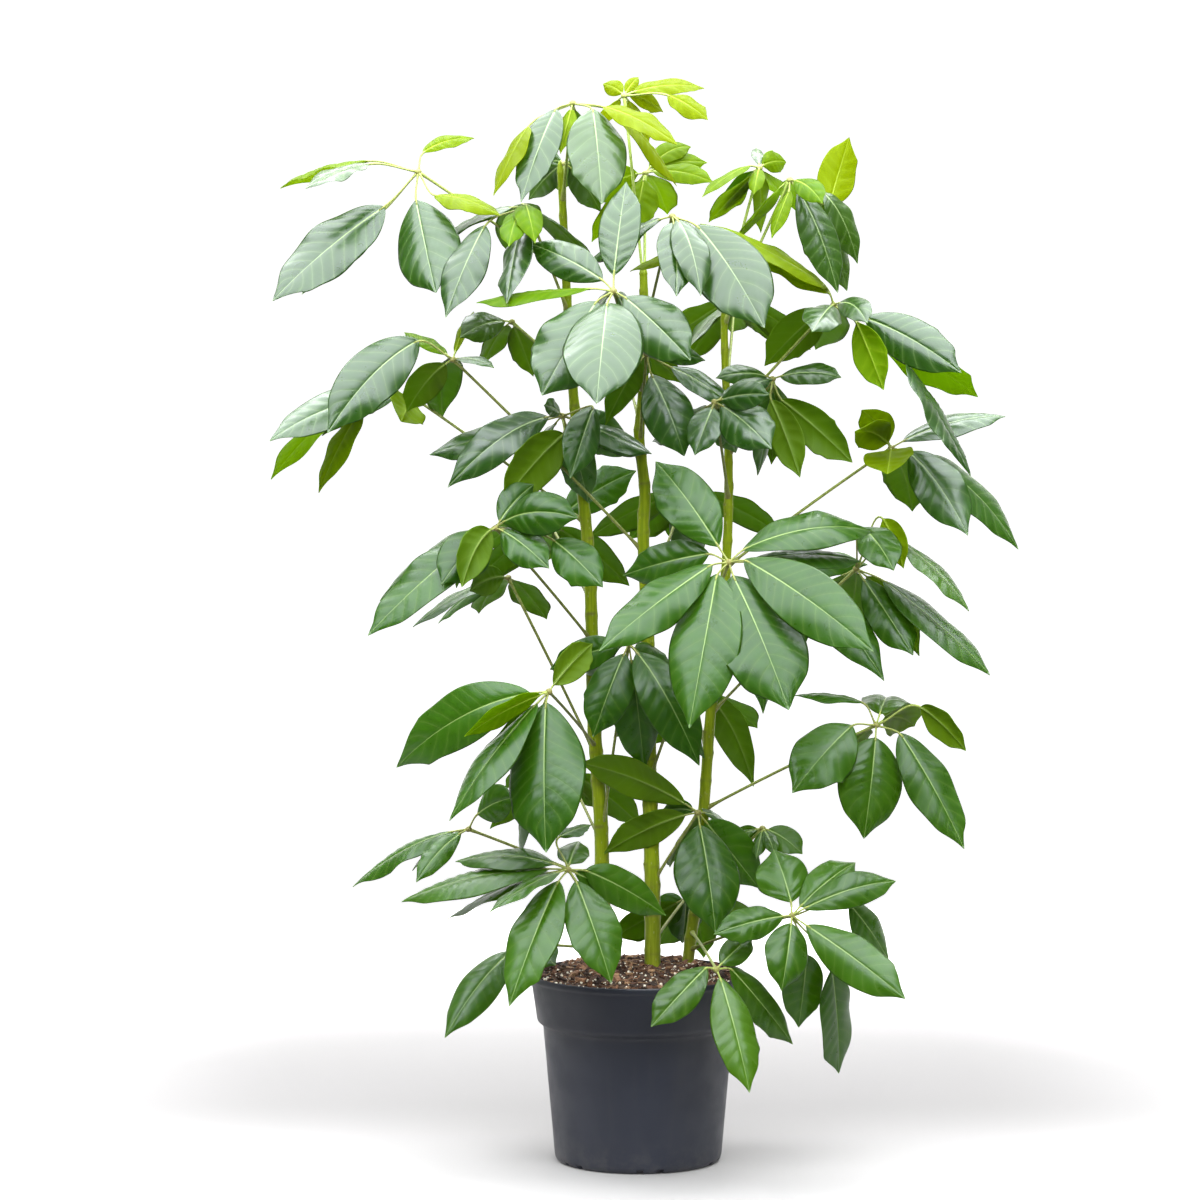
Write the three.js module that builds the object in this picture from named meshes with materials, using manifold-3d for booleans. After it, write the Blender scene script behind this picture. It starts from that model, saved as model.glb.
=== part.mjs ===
// A potted umbrella plant: three upright stems in a tapered nursery pot, with long-stalked fronds, each a
// whorl of leaflets round one knuckle. Millimetres, +Z up; the origin is the middle of the pot's underside.
import * as THREE from 'three'
import { mergeVertices } from 'three/addons/utils/BufferGeometryUtils.js'
import Module from 'manifold-3d'

const wasm = await Module()
wasm.setup()

// Pot: outer radii and heights of the foot, body, step, collar and rim.
const FOOT_RADIUS = 97
const FOOT_ROUND = 8
const FOOT_ROUND_BULGE = [0.7, 0.3]
const BODY_TOP_RADIUS = 119.5
const BODY_HEIGHT = 171
const COLLAR_RADIUS = 127
const COLLAR_HEIGHT = 179
const RIM_RADIUS = 135.5
const RIM_HEIGHT = 236
const RIM_ROUND = 2
const WALL = 2.4
const FLOOR = 3
const POT_SIDES = 48

// Drain notches: pairs of short slots through the pot's lower edge.
const DRAIN_PAIRS = 6
const DRAIN_SPREAD = 0.25
const DRAIN_FIRST = 4.85
const DRAIN_WIDTH = 8
const DRAIN_HEIGHT = 5
const DRAIN_INNER_RADIUS = 89
const DRAIN_OUTER_RADIUS = 120

// Soil: its edge stays just under the rim, and its middle is heaped.
const FIT_GAP = 0.3
const SOIL_EDGE_HEIGHT = 229
const SOIL_HEAP = 20
const SOIL_RELIEF = 1.6
const SOIL_WAVES = [13, 11, 29]
const SOIL_RINGS = 7

// Stems: section, how deep they stand in the soil, and their radii at soil and tip.
const STEM_SIDES = 10
const STEM_SPANS = 16
const STEM_FOOT_HEIGHT = 150
const STEM_RADII = { left: [9.6, 4.4], middle: [10.2, 5], right: [7.6, 4.2] }
const STEM_TAPER = 1.5

// Petioles and knuckles. The arch is a share of the petiole's length.
const PETIOLE_SIDES = 4
const PETIOLE_SPANS = 4
const PETIOLE_RADIUS = 2.2
const PETIOLE_FOOT_RADIUS = 4.4
const PETIOLE_FOOT_LENGTH = 18
const PETIOLE_ARCH = 0.02
const KNUCKLE_RADIUS = 7
const KNUCKLE_CORE = 2.5

// Leaflets: a thin stalk, then a blade. Stations and shares are along the blade; widths are shares of its
// length; the rise of the stalk goes with the blade's arch.
const PETIOLULE_LENGTH = 24
const PETIOLULE_SHARE = 0.12
const PETIOLULE_RISE = 2.6
const PETIOLULE_HALF = 1.3
const RIB_ABOVE = 0.6
const RIB_BELOW = 1.0
const BLADE_STATIONS = [0.2, 0.5, 0.8]
const BACK_STATIONS = [0.28, 0.7]
const OUTLINE_LEAN = 0.88
const OUTLINE_FULLNESS = 0.72
const LEAST_WIDTH = 0.36
const EDGE_SHARE = 1.04
const LEAFLET_ARCH = 0.12
const ARCH_STATION = 0.45
const BLADE_DROOP = 0.2
const FACE_STATION = 0.6

// Leaflets that go around: how far they hang in radians, how long they are, and how wide for that length,
// each as the least and the spread.
const AROUND_FALL = [0.25, 0.5]
const AROUND_REACH = [0.9, 0.2]
const AROUND_WIDTH = [0.34, 0.1]

// The steps of the even but irregular draws: the two shares of the plastic ratio.
const DRAW_STEP = 0.7548776662
const DRAW_KIND_STEP = 0.5698402910

// Between pieces: the room left between two fronds, and between two blades of one frond.
const CLEARANCE = 0.8
const BLADE_GAP = 0.4
const SIMPLER = 0.12
const SAME_PLACE = 1e-4

// The eye of the person who looks at the plant. Places on the plant are given as they are sighted from it:
// right and up on the upright plane through the pot's axis, and how far behind that plane.
const EYE = new THREE.Vector3(-48, -5000, 1000)

function sighted(right, up, behind) {
  const reach = (behind - EYE.y) / -EYE.y
  return new THREE.Vector3(
    EYE.x + (right - EYE.x) * reach,
    behind,
    EYE.z + (up - EYE.z) * reach
  )
}

// The lines of the three stems, from the soil up.
const STEMS = {
  left: [[-38, 240, 22], [-44, 320, 22], [-47, 430, 20], [-56, 560, 18], [-58, 660, 16], [-62, 760, 14],
    [-74, 880, 10], [-84, 1000, 6], [-90, 1100, 2], [-94, 1190, 0], [-97, 1235, 0]],
  middle: [[18, 240, -14], [18, 330, -14], [14, 480, -12], [12, 655, -10], [6, 790, -10], [8, 840, -10],
    [1, 910, -8], [5, 960, -4], [8, 1040, 4], [6, 1110, 10]],
  right: [[62, 240, 18], [74, 340, 18], [83, 454, 16], [92, 580, 14], [106, 700, 14], [112, 800, 16],
    [112, 900, 18], [107, 1053, 20], [112, 1110, 20]],
}

// The fronds. seat: the height where the petiole leaves its stem. hub: the knuckle, as sighted. face: the way
// that the whorl faces. blades: for each leaflet the place of its tip as sighted, the distance from the
// knuckle to the tip, with a minus sign where it leans towards the eye, the width as sighted, with a minus
// sign where the underside shows, an arch of its own, and the place of the blade's root as sighted.
// around: the bearings of leaflets that only show from other sides, and size their reach.
const FRONDS = [
  { name: 'left_top', stem: 'left', seat: 1110, hub: [-274, 1238, -10], face: [-0.2, -0.3, 1],
    blades: [[-446, 1219, 185, -11, 0.1, -336, 1252], [-414, 1218, -155, 17, 0.1, -336, 1248],
      [-204, 1280, 95, 16, 0.15, -268, 1262], [-457, 1081, -250, 64, 0.05, -316, 1195],
      [-423, 1089, 214, 32, 0.05, -318, 1190], [-254, 1090, -180, 80, 0, -277, 1203],
      [-172, 1186, -145, 22, 0.12, -253, 1209]],
    around: [], size: 165 },
  { name: 'left_top_inner', stem: 'left', seat: 1065, hub: [-140, 1195, -70], face: [-0.2, -0.4, 1],
    blades: [[-241, 1058, -180, 48, 0.08, -191, 1172], [-165, 1075, -158, 32, 0.08, -145, 1174],
      [-162, 1148, -120, 34], [-128, 1152, -112, 34]],
    around: [40, 95, 150], size: 140 },
  { name: 'top', stem: 'left', seat: 1200, hub: [-82, 1323, -50], face: [0.05, -0.5, 1],
    blades: [[-181, 1209, -160, 22, 0.12, -138, 1294], [-147, 1202, -156, 45, 0.12, -103, 1316],
      [-98, 1262, -80, 22], [-45, 1199, -155, 72, 0.1, -57, 1316], [48, 1272, -148, 26, 0.12, -44, 1319],
      [49, 1221, 172, 11, 0.12, -26, 1310]],
    around: [80], size: 120 },
  { name: 'top_inner', stem: 'left', seat: 1120, hub: [-92, 1248, 45], face: [0, -0.3, 1],
    blades: [[-137, 1203, 84, 34], [-46, 1188, 94, 38], [-58, 1232, 66, 26], [-128, 1238, 58, 24]],
    around: [95], size: 85 },
  { name: 'top_right', stem: 'middle', seat: 1095, hub: [-18, 1332, 30], face: [0.1, -0.3, 1],
    blades: [[0, 1356, 40, 15], [-45, 1347, 42, 22], [82, 1342, 112, 18],
      [86, 1303, -118, 26, 0.1, 36, 1333], [32, 1312, 80, 22]],
    around: [60, 130], size: 85 },
  { name: 'top_back', stem: 'middle', seat: 1070, hub: [8, 1236, 70], face: [0.1, 0.2, 1],
    blades: [[-5, 1165, -100, 44], [86, 1250, 100, 26], [92, 1226, -105, 26], [66, 1270, 95, 26],
      [-70, 1200, 110, 40]],
    around: [75, 140], size: 120 },
  { name: 'middle_top', stem: 'middle', seat: 965, hub: [-31, 1090, -195], face: [0, -1, 0.55],
    blades: [[-16, 1227, 148, 50, 0.12, -31, 1110], [-136, 1150, 140, 46, 0.12, -45, 1104],
      [-121, 961, -160, 86, 0.1, -52, 1078], [-52, 951, -158, 92, 0.08, -39, 1076],
      [65, 1005, -131, 68, 0.1, -18, 1083], [-203, 1080, 178, 12, 0.04, -60, 1094]],
    around: [70, 110], size: 120 },
  { name: 'right_top_inner', stem: 'middle', seat: 1040, hub: [42, 1183, -145], face: [0.2, -0.6, 0.8],
    blades: [[48, 1085, -125, 46], [78, 1085, -130, 42], [157, 1045, -190, 86, 0.1, 72, 1172],
      [-11, 1115, 112, 12, 0.15, 74, 1143]],
    around: [75, 145], size: 130 },
  { name: 'right_top', stem: 'right', seat: 1095, hub: [150, 1243, -10], face: [0.1, -0.2, 1],
    blades: [[184, 1250, 60, 28], [143, 1211, -62, 20], [78, 1209, -100, 13, 0.1, 138, 1246],
      [153, 1162, 100, 20], [105, 1194, 85, -22], [146, 1268, 50, 16]],
    around: [70, 140], size: 105 },
  { name: 'right_top_outer', stem: 'right', seat: 1050, hub: [188, 1228, -60], face: [0.3, -0.4, 0.9],
    blades: [[262, 1281, 112, 48, -0.12, 238, 1200], [164, 1157, -85, 18, 0.08, 187, 1215],
      [249, 1088, -152, 44], [274, 1124, 146, 26, 0.1, 230, 1212], [262, 1090, 172, 40, 0.1, 222, 1212],
      [228, 1200, -95, 30]],
    around: [80, 140], size: 125 },
  { name: 'right_upper', stem: 'right', seat: 930, hub: [243, 1073, -50], face: [0.3, -0.4, 1],
    blades: [[77, 1175, -206, 20, 0.08, 236, 1094], [137, 1156, -152, 28, 0.08, 238, 1088],
      [216, 1040, -105, 46], [284, 1052, -92, 34], [402, 990, -186, 58, 0.08, 282, 1057],
      [424, 962, 216, -46, 0.05, 300, 1035], [306, 967, -140, -42, 0.04, 272, 1050], [157, 998, 130, -52],
      [417, 862, -280, 16, 0.02, 334, 1001]],
    around: [95], size: 155 },
  { name: 'right_inner', stem: 'right', seat: 885, hub: [167, 981, -10], face: [0.3, -0.3, 1],
    blades: [[97, 983, -95, 26], [252, 984, -112, 28], [268, 877, -150, -46, 0.04, 178, 955],
      [202, 858, -136, -42, 0.06, 165, 955], [167, 876, 122, -36], [151, 860, 132, 26]],
    around: [85, 140], size: 140 },
  { name: 'middle_upper_left', stem: 'middle', seat: 900, hub: [10, 1012, -60], face: [0.2, -0.8, 0.8],
    blades: [[58, 885, -138, 62, 0.12, 16, 986], [119, 948, -125, 28, 0.1, 40, 996], [84, 1004, 86, 26],
      [-42, 925, 115, -36]],
    around: [110], size: 120 },
  { name: 'middle_upper', stem: 'right', seat: 830, hub: [95, 952, -95], face: [0.1, -0.8, 0.8],
    blades: [[70, 886, -76, 42], [166, 894, -104, 60], [168, 982, 90, 22], [122, 888, 100, 44],
      [162, 962, -88, 36]],
    around: [65, 130], size: 120 },
  { name: 'right_middle', stem: 'right', seat: 745, hub: [315, 895, -20], face: [0.2, 0.35, 0.9],
    blades: [[277, 944, -95, -40], [268, 918, -105, -46], [311, 861, -104, -60], [458, 938, 156, 28],
      [412, 787, -152, 62, 0.14, 337, 890], [478, 770, 210, 36, 0.2, 350, 882]],
    around: [70], size: 135 },
  { name: 'centre', stem: 'middle', seat: 480, hub: [113, 752, -205], face: [0.1, -1, 0.55],
    blades: [[21, 880, 162, 68, 0.12, 100, 772], [-20, 736, 148, 50, 0.12, 88, 763],
      [-50, 643, -200, 56, 0.1, 92, 750], [63, 545, -228, 84, 0.1, 98, 738],
      [189, 568, -215, 104, 0.1, 118, 736], [294, 641, -224, 74, 0.12, 132, 756],
      [298, 794, 200, 44, 0.34, 130, 768], [280, 757, 178, 24, 0.2, 134, 753]],
    around: [], size: 130 },
  { name: 'centre_back', stem: 'right', seat: 600, hub: [150, 735, 20], face: [0.2, -0.2, 1],
    blades: [[308, 604, -210, 52], [204, 634, -128, 56], [158, 563, -180, 42], [288, 752, 145, 34]],
    around: [75, 130], size: 145 },
  { name: 'right_lower_middle', stem: 'right', seat: 560, hub: [272, 744, 0], face: [0.3, -0.2, 1],
    blades: [[332, 744, -100, -34, 0.1, 306, 806], [416, 694, -180, 20, 0.1, 318, 784],
      [443, 614, -222, 34, 0.04, 306, 730], [352, 636, 142, -42], [344, 636, -142, 50],
      [319, 743, -120, 50, 0.1, 280, 796]],
    around: [90, 150], size: 140 },
  { name: 'right_lower', stem: 'right', seat: 440, hub: [298, 548, -40], face: [0.2, -0.4, 1],
    blades: [[195, 588, 118, 10, 0.1, 281, 577], [193, 464, -146, 74, 0.1, 268, 548],
      [284, 405, -150, 80], [410, 393, -198, 56, 0.06, 328, 538], [411, 516, -125, -32, 0.1, 354, 571],
      [310, 562, 150, -60, 0.35], [345, 548, 150, -50, 0.3]],
    around: [125], size: 130 },
  { name: 'right_bottom', stem: 'right', seat: 262, hub: [193, 308, -140], face: [0.2, -0.9, 0.7],
    blades: [[170, 392, 98, 66, 0.1, 192, 325], [274, 377, 125, 48], [325, 353, 142, 42],
      [336, 204, -184, 58, 0.05, 211, 296], [181, 213, -106, 54], [95, 285, -108, 42],
      [202, 166, 152, 50, 0.08, 212, 258], [256, 107, 218, 42, 0.05, 244, 240],
      [316, 252, 160, 38, 0.08, 265, 323]],
    around: [], size: 130 },
  { name: 'right_bottom_young', stem: 'right', seat: 330, hub: [156, 418, 0], face: [0.1, -0.2, 1],
    blades: [[206, 386, -70, 34], [172, 384, -50, 18], [148, 380, -52, 18], [110, 392, 62, 24]],
    around: [70, 140], size: 80 },
  { name: 'pot_front', stem: 'right', seat: 285, hub: [98, 240, -172], face: [0.2, -1, 0.6],
    blades: [[16, 168, -115, 46, 0.1, 86, 243], [143, 284, 72, 34], [196, 145, 142, 38, 0.05, 116, 242],
      [141, 84, -172, 52, 0.08, 103, 230]],
    around: [], size: 90 },
  { name: 'lower_centre', stem: 'middle', seat: 350, hub: [75, 438, -50], face: [0.1, -0.7, 0.8],
    blades: [[-72, 502, 166, -46], [98, 287, -166, 80, 0.1, 77, 423], [152, 342, 138, 60],
      [28, 440, 70, 24], [-43, 387, 138, -42]],
    around: [60, 110], size: 130 },
  { name: 'centre_left', stem: 'left', seat: 405, hub: [-12, 650, -65], face: [0, -0.9, 0.7],
    blades: [[-57, 533, -128, 58], [78, 497, -184, 62], [8, 490, 168, 62], [86, 506, 196, 46],
      [-112, 618, 112, 42]],
    around: [60, 120], size: 125 },
  { name: 'left_upper', stem: 'middle', seat: 765, hub: [-231, 1005, -60], face: [-0.3, -0.4, 1],
    blades: [[-388, 914, -192, 68, 0.15, -274, 1029], [-289, 941, 100, -42], [-180, 997, -80, 12],
      [-292, 1040, 90, 16, 0.1], [-206, 1066, 75, 13]],
    around: [100], size: 140 },
  { name: 'left_upper_back', stem: 'left', seat: 800, hub: [-281, 958, 50], face: [-0.2, 0, 1],
    blades: [[-461, 907, -200, 46, 0.14], [-460, 857, 216, -30, 0.1, -352, 962],
      [-401, 840, 172, -28, 0.1, -345, 945], [-297, 927, -95, -52]],
    around: [150], size: 140 },
  { name: 'left_inner', stem: 'left', seat: 985, hub: [-158, 1052, -5], face: [-0.2, 0, 1],
    blades: [[-222, 1033, -88, 38]],
    around: [70, 120], size: 100 },
  { name: 'left_middle_inner', stem: 'left', seat: 840, hub: [-95, 935, -40], face: [0, -0.6, 0.9],
    blades: [[-171, 826, -140, -56, 0.1, -93, 912], [-116, 948, -60, 22],
      [-84, 858, -112, 46, 0.1, -56, 946], [-5, 886, 112, 50], [-62, 826, 125, 46], [-262, 888, 180, 26],
      [-239, 846, -172, 46]],
    around: [25, 125], size: 125 },
  { name: 'left_middle', stem: 'left', seat: 652, hub: [-178, 795, -110], face: [-0.3, -0.5, 1],
    blades: [[-246, 725, -106, 60], [-340, 663, -214, 52, 0.14, -192, 793], [-325, 705, 186, 22],
      [-112, 746, -100, 48], [-76, 808, -118, 54], [-130, 850, 82, 40],
      [-44, 722, -160, 54, 0.1, -106, 780], [-221, 721, -100, -42]],
    around: [60, 120], size: 135 },
  { name: 'left_middle_lower', stem: 'left', seat: 505, hub: [-163, 733, 30], face: [-0.2, -0.1, 1],
    blades: [[-283, 672, -142, 13], [-252, 677, 112, 14], [-212, 716, -80, -36]],
    around: [60, 110], size: 120 },
  { name: 'left_lower', stem: 'left', seat: 520, hub: [-112, 590, -175], face: [-0.2, -1, 0.6],
    blades: [[-307, 494, 222, 66, 0.3], [-219, 535, -132, -24], [-239, 429, -212, 36],
      [-117, 388, -214, 94, 0.1, -116, 577], [-205, 462, 175, -40], [-155, 370, 230, 36],
      [-58, 650, 88, -38]],
    around: [], size: 120 },
  { name: 'left_bottom', stem: 'left', seat: 345, hub: [-213, 417, 20], face: [-0.3, -0.1, 1],
    blades: [[-359, 345, 172, 17], [-279, 351, -102, 30], [-156, 457, -95, 46, 0.1, -202, 436]],
    around: [145], size: 115 },
  { name: 'front_left', stem: 'left', seat: 285, hub: [-88, 366, -185], face: [-0.05, -0.8, 0.9],
    blades: [[-300, 330, 218, 28], [-230, 377, 155, 26, 0.18], [-241, 305, 172, 14],
      [-188, 315, -122, 16], [-163, 194, -200, 58, 0.1, -100, 352], [-33, 223, -160, 62, 0.1, -78, 352],
      [36, 308, 142, 46, 0.1, -66, 365], [-12, 330, 92, 28], [-74, 404, 90, 38],
      [-59, 424, 76, 15, 0.05, -99, 408]],
    around: [], size: 120 },
  { name: 'left_rim', stem: 'left', seat: 262, hub: [-146, 272, 40], face: [-0.3, -0.4, 1],
    blades: [[-244, 154, -170, 48], [-104, 246, -66, 44]],
    around: [80, 130], size: 120 },
  { name: 'back_bottom', stem: 'middle', seat: 275, hub: [60, 330, 120], face: [0.2, 0.8, 0.8],
    blades: [[56, 272, 70, 44], [20, 300, 60, 40]],
    around: [40, 75, 110, 150], size: 135 },
  { name: 'back_low_left', stem: 'left', seat: 395, hub: [-90, 490, 150], face: [-0.2, 0.8, 0.9], blades: [],
    around: [15, 60, 95, 130, 175, 240], size: 130 },
  { name: 'back_low_right', stem: 'right', seat: 500, hub: [70, 590, 150], face: [0.2, 0.8, 0.9],
    blades: [[146, 470, -150, -44, 0.3]],
    around: [50, 90, 125, 165, 230], size: 135 },
  { name: 'back_middle_left', stem: 'left', seat: 700, hub: [-110, 800, 160], face: [-0.2, 0.8, 0.9],
    blades: [[-3, 867, -128, 50, 0.1, -92, 814]],
    around: [10, 55, 95, 135, 180], size: 135 },
  { name: 'back_middle_right', stem: 'middle', seat: 700, hub: [60, 840, 150], face: [0.2, 0.8, 0.9],
    blades: [[70, 742, 125, 50, 0.1, 58, 826]],
    around: [10, 55, 95, 135, 180], size: 130 },
  { name: 'back_upper_left', stem: 'middle', seat: 925, hub: [-30, 1045, 130], face: [-0.2, 0.8, 0.9],
    blades: [],
    around: [10, 60, 95, 135, 180], size: 115 },
  { name: 'back_upper_right', stem: 'right', seat: 960, hub: [120, 1080, 150], face: [0.2, 0.8, 0.9],
    blades: [],
    around: [0, 50, 90, 130, 175, 240], size: 125 },
]

// Colours and finish. The fronds at the top are young and paler.
const POT_COLOUR = 0x2e3038
const POT_ROUGHNESS = 0.5
const SOIL_COLOUR = 0x4a2f22
const SOIL_ROUGHNESS = 0.95
const STEM_COLOUR = 0x76802a
const STEM_ROUGHNESS = 0.6
const LEAF_OLD = 0x2f5a2c
const LEAF_YOUNG = 0x7fa52a
const LEAF_ROUGHNESS = 0.4
const YOUNG_FROM_HEIGHT = 1150

// A closed body through rings of points, with flat ends, or a point at the far end. Neighbouring faces are
// split along mirrored diagonals, so that a thin blade bends alike on both faces.
function loft(rings, tip) {
  const sides = rings[0].length
  const points = rings.flat()
  const faces = []
  for (let i = 1; i < sides - 1; i++) faces.push(0, i + 1, i)
  for (let r = 0; r < rings.length - 1; r++) {
    for (let i = 0; i < sides; i++) {
      const near = r * sides + i
      const nearNext = r * sides + (i + 1) % sides
      const far = near + sides
      const farNext = nearNext + sides
      if (i % 2) faces.push(near, nearNext, far, nearNext, farNext, far)
      else faces.push(near, nearNext, farNext, near, farNext, far)
    }
  }
  const last = (rings.length - 1) * sides
  if (tip) {
    points.push(tip)
    for (let i = 0; i < sides; i++) faces.push(last + i, last + (i + 1) % sides, points.length - 1)
  } else {
    for (let i = 1; i < sides - 1; i++) faces.push(last, last + i, last + i + 1)
  }
  const geometry = new THREE.BufferGeometry().setFromPoints(points)
  geometry.setIndex(faces)
  return geometry
}

// A geometry as a solid that can be cut and joined, and a solid as a geometry again.
function solid(geometry) {
  const bare = new THREE.BufferGeometry()
  bare.setAttribute('position', geometry.getAttribute('position'))
  if (geometry.index) bare.setIndex(geometry.index)
  const merged = mergeVertices(bare, SAME_PLACE)
  return new wasm.Manifold(new wasm.Mesh({
    numProp: 3,
    vertProperties: new Float32Array(merged.getAttribute('position').array),
    triVerts: new Uint32Array(merged.index.array),
  }))
}

function geometryOf(made) {
  const mesh = made.getMesh()
  const geometry = new THREE.BufferGeometry()
  const places = new Float32Array(mesh.numVert * 3)
  for (let v = 0; v < mesh.numVert; v++) {
    for (let k = 0; k < 3; k++) places[v * 3 + k] = mesh.vertProperties[v * mesh.numProp + k]
  }
  geometry.setAttribute('position', new THREE.BufferAttribute(places, 3))
  geometry.setIndex(Array.from(mesh.triVerts))
  return geometry
}

// A ring of points square to a line's direction, with one radius.
function ring(centre, direction, radius, sides) {
  const across = new THREE.Vector3(0, 1, 0).cross(direction).normalize()
  const over = direction.clone().cross(across).normalize()
  return Array.from({ length: sides }, (_, i) => {
    const turn = (i / sides) * 2 * Math.PI
    return centre.clone()
      .addScaledVector(across, radius * Math.cos(turn))
      .addScaledVector(over, radius * Math.sin(turn))
  })
}

// The pot: one turned wall, with pairs of drain notches through its lower edge.
function potSolid() {
  const innerRim = RIM_RADIUS - WALL
  const innerFoot = FOOT_RADIUS + FOOT_ROUND - WALL
  const [bulgeOut, bulgeUp] = FOOT_ROUND_BULGE
  const profile = [
    [0, 0],
    [FOOT_RADIUS, 0],
    [FOOT_RADIUS + FOOT_ROUND * bulgeOut, FOOT_ROUND * bulgeUp],
    [FOOT_RADIUS + FOOT_ROUND, FOOT_ROUND],
    [BODY_TOP_RADIUS, BODY_HEIGHT],
    [COLLAR_RADIUS, COLLAR_HEIGHT],
    [RIM_RADIUS, RIM_HEIGHT - RIM_ROUND],
    [RIM_RADIUS - WALL / 2, RIM_HEIGHT],
    [innerRim, RIM_HEIGHT - RIM_ROUND],
    [COLLAR_RADIUS - WALL, COLLAR_HEIGHT],
    [BODY_TOP_RADIUS - WALL, BODY_HEIGHT],
    [innerFoot, FOOT_ROUND],
    [FOOT_RADIUS, FLOOR],
    [0, FLOOR],
  ].map(([radius, height]) => new THREE.Vector2(radius, height))
  let pot = solid(new THREE.LatheGeometry(profile, POT_SIDES).rotateX(Math.PI / 2))
  const length = DRAIN_OUTER_RADIUS - DRAIN_INNER_RADIUS
  const notch = new THREE.BoxGeometry(length, DRAIN_WIDTH, 2 * DRAIN_HEIGHT)
    .translate(DRAIN_INNER_RADIUS + length / 2, 0, 0)
  for (let pair = 0; pair < DRAIN_PAIRS; pair++) {
    for (const side of [-0.5, 0.5]) {
      const turn = DRAIN_FIRST + (pair / DRAIN_PAIRS) * 2 * Math.PI + side * DRAIN_SPREAD
      pot = pot.subtract(solid(notch.clone().rotateZ(turn)))
    }
  }
  return pot
}

// The soil's surface: heaped in the middle, with a low relief.
function soilHeight(x, y) {
  const out = Math.hypot(x, y) / RIM_RADIUS
  const [acrossWave, alongWave, slantWave] = SOIL_WAVES
  const relief = Math.sin(x / acrossWave) * Math.cos(y / alongWave + x / slantWave)
  return SOIL_EDGE_HEIGHT + SOIL_HEAP * (1 - out * out) + SOIL_RELIEF * relief
}

// The soil: it follows the pot's inside with a small gap, and has a plain hole for each stem.
function soilSolid(stems) {
  const inset = WALL + FIT_GAP
  const taper = (RIM_RADIUS - COLLAR_RADIUS) / (RIM_HEIGHT - RIM_ROUND - COLLAR_HEIGHT)
  const edgeRadius = COLLAR_RADIUS - inset + taper * (SOIL_EDGE_HEIGHT - COLLAR_HEIGHT)
  const profile = [
    [0, FLOOR + FIT_GAP],
    [FOOT_RADIUS - FIT_GAP, FLOOR + FIT_GAP],
    [FOOT_RADIUS + FOOT_ROUND - inset, FOOT_ROUND + FIT_GAP],
    [BODY_TOP_RADIUS - inset, BODY_HEIGHT + FIT_GAP],
    [COLLAR_RADIUS - inset, COLLAR_HEIGHT + FIT_GAP],
  ].map(([radius, height]) => new THREE.Vector2(radius, height))
  for (let i = SOIL_RINGS; i >= 0; i--) {
    profile.push(new THREE.Vector2((edgeRadius * i) / SOIL_RINGS, SOIL_EDGE_HEIGHT))
  }
  const body = new THREE.LatheGeometry(profile, POT_SIDES).rotateX(Math.PI / 2)
  const places = body.getAttribute('position')
  const topRing = edgeRadius * (1 - 0.5 / SOIL_RINGS)
  for (let v = 0; v < places.count; v++) {
    const x = places.getX(v)
    const y = places.getY(v)
    const onTop = places.getZ(v) > COLLAR_HEIGHT + 1
    if (onTop && Math.hypot(x, y) < topRing) places.setZ(v, soilHeight(x, y))
  }
  let soil = solid(body)
  for (const [name, line] of Object.entries(stems)) {
    soil = soil.subtract(solid(stemGeometry(line, STEM_RADII[name], FIT_GAP)))
  }
  return soil
}

// A stem's line, and its tube, plain or grown by a gap.
function stemLine(points) {
  const line = points.map(([right, up, behind]) => sighted(right, up, behind))
  line.unshift(new THREE.Vector3(line[0].x, line[0].y, STEM_FOOT_HEIGHT))
  return new THREE.CatmullRomCurve3(line)
}

function stemGeometry(line, [footRadius, tipRadius], gap) {
  const rings = []
  for (let i = 0; i <= STEM_SPANS; i++) {
    const share = i / STEM_SPANS
    const centre = line.getPointAt(share)
    const direction = line.getTangentAt(share)
    if (i === 0) centre.z -= gap
    const radius = footRadius + (tipRadius - footRadius) * share ** STEM_TAPER
    rings.push(ring(centre, direction, radius + gap, STEM_SIDES))
  }
  return loft(rings)
}

// The point of a stem's line at a height.
function stemPoint(line, height) {
  let low = 0
  let high = 1
  while (high - low > SAME_PLACE / 100) {
    const middle = (low + high) / 2
    if (line.getPointAt(middle).z < height) low = middle
    else high = middle
  }
  return line.getPointAt(low)
}

// Even but irregular shares between 0 and 1, the same each time.
function share(count, kind) {
  const value = (count + 1) * DRAW_STEP + kind * DRAW_KIND_STEP
  return value - Math.floor(value)
}

// The petiole: a slim round stalk with a thicker foot, in an arch from the stem's middle to the knuckle.
// bend moves the middle of the arch sideways.
function petioleGeometry(foot, hub, bend) {
  const chord = hub.clone().sub(foot)
  const across = chord.clone().cross(new THREE.Vector3(0, 0, 1)).normalize()
  const middle = foot.clone().addScaledVector(chord, 0.5)
    .addScaledVector(new THREE.Vector3(0, 0, 1), PETIOLE_ARCH * chord.length())
    .addScaledVector(across, bend)
  const curve = new THREE.QuadraticBezierCurve3(foot, middle, hub)
  const footEnd = PETIOLE_FOOT_LENGTH / chord.length()
  const stations = [0, footEnd]
  for (let i = 1; i <= PETIOLE_SPANS; i++) stations.push(footEnd + ((1 - footEnd) * i) / PETIOLE_SPANS)
  const rings = stations.map((at, i) => ring(
    curve.getPoint(at), curve.getTangent(at), i === 0 ? PETIOLE_FOOT_RADIUS : PETIOLE_RADIUS, PETIOLE_SIDES
  ))
  return loft(rings)
}

// The blade's half width along its length, as a share of the widest: pointed at both ends, widest past the
// middle, with a drawn-out tip.
function outline(along) {
  return Math.sin(Math.PI * along ** OUTLINE_LEAN) ** OUTLINE_FULLNESS
}

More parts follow.
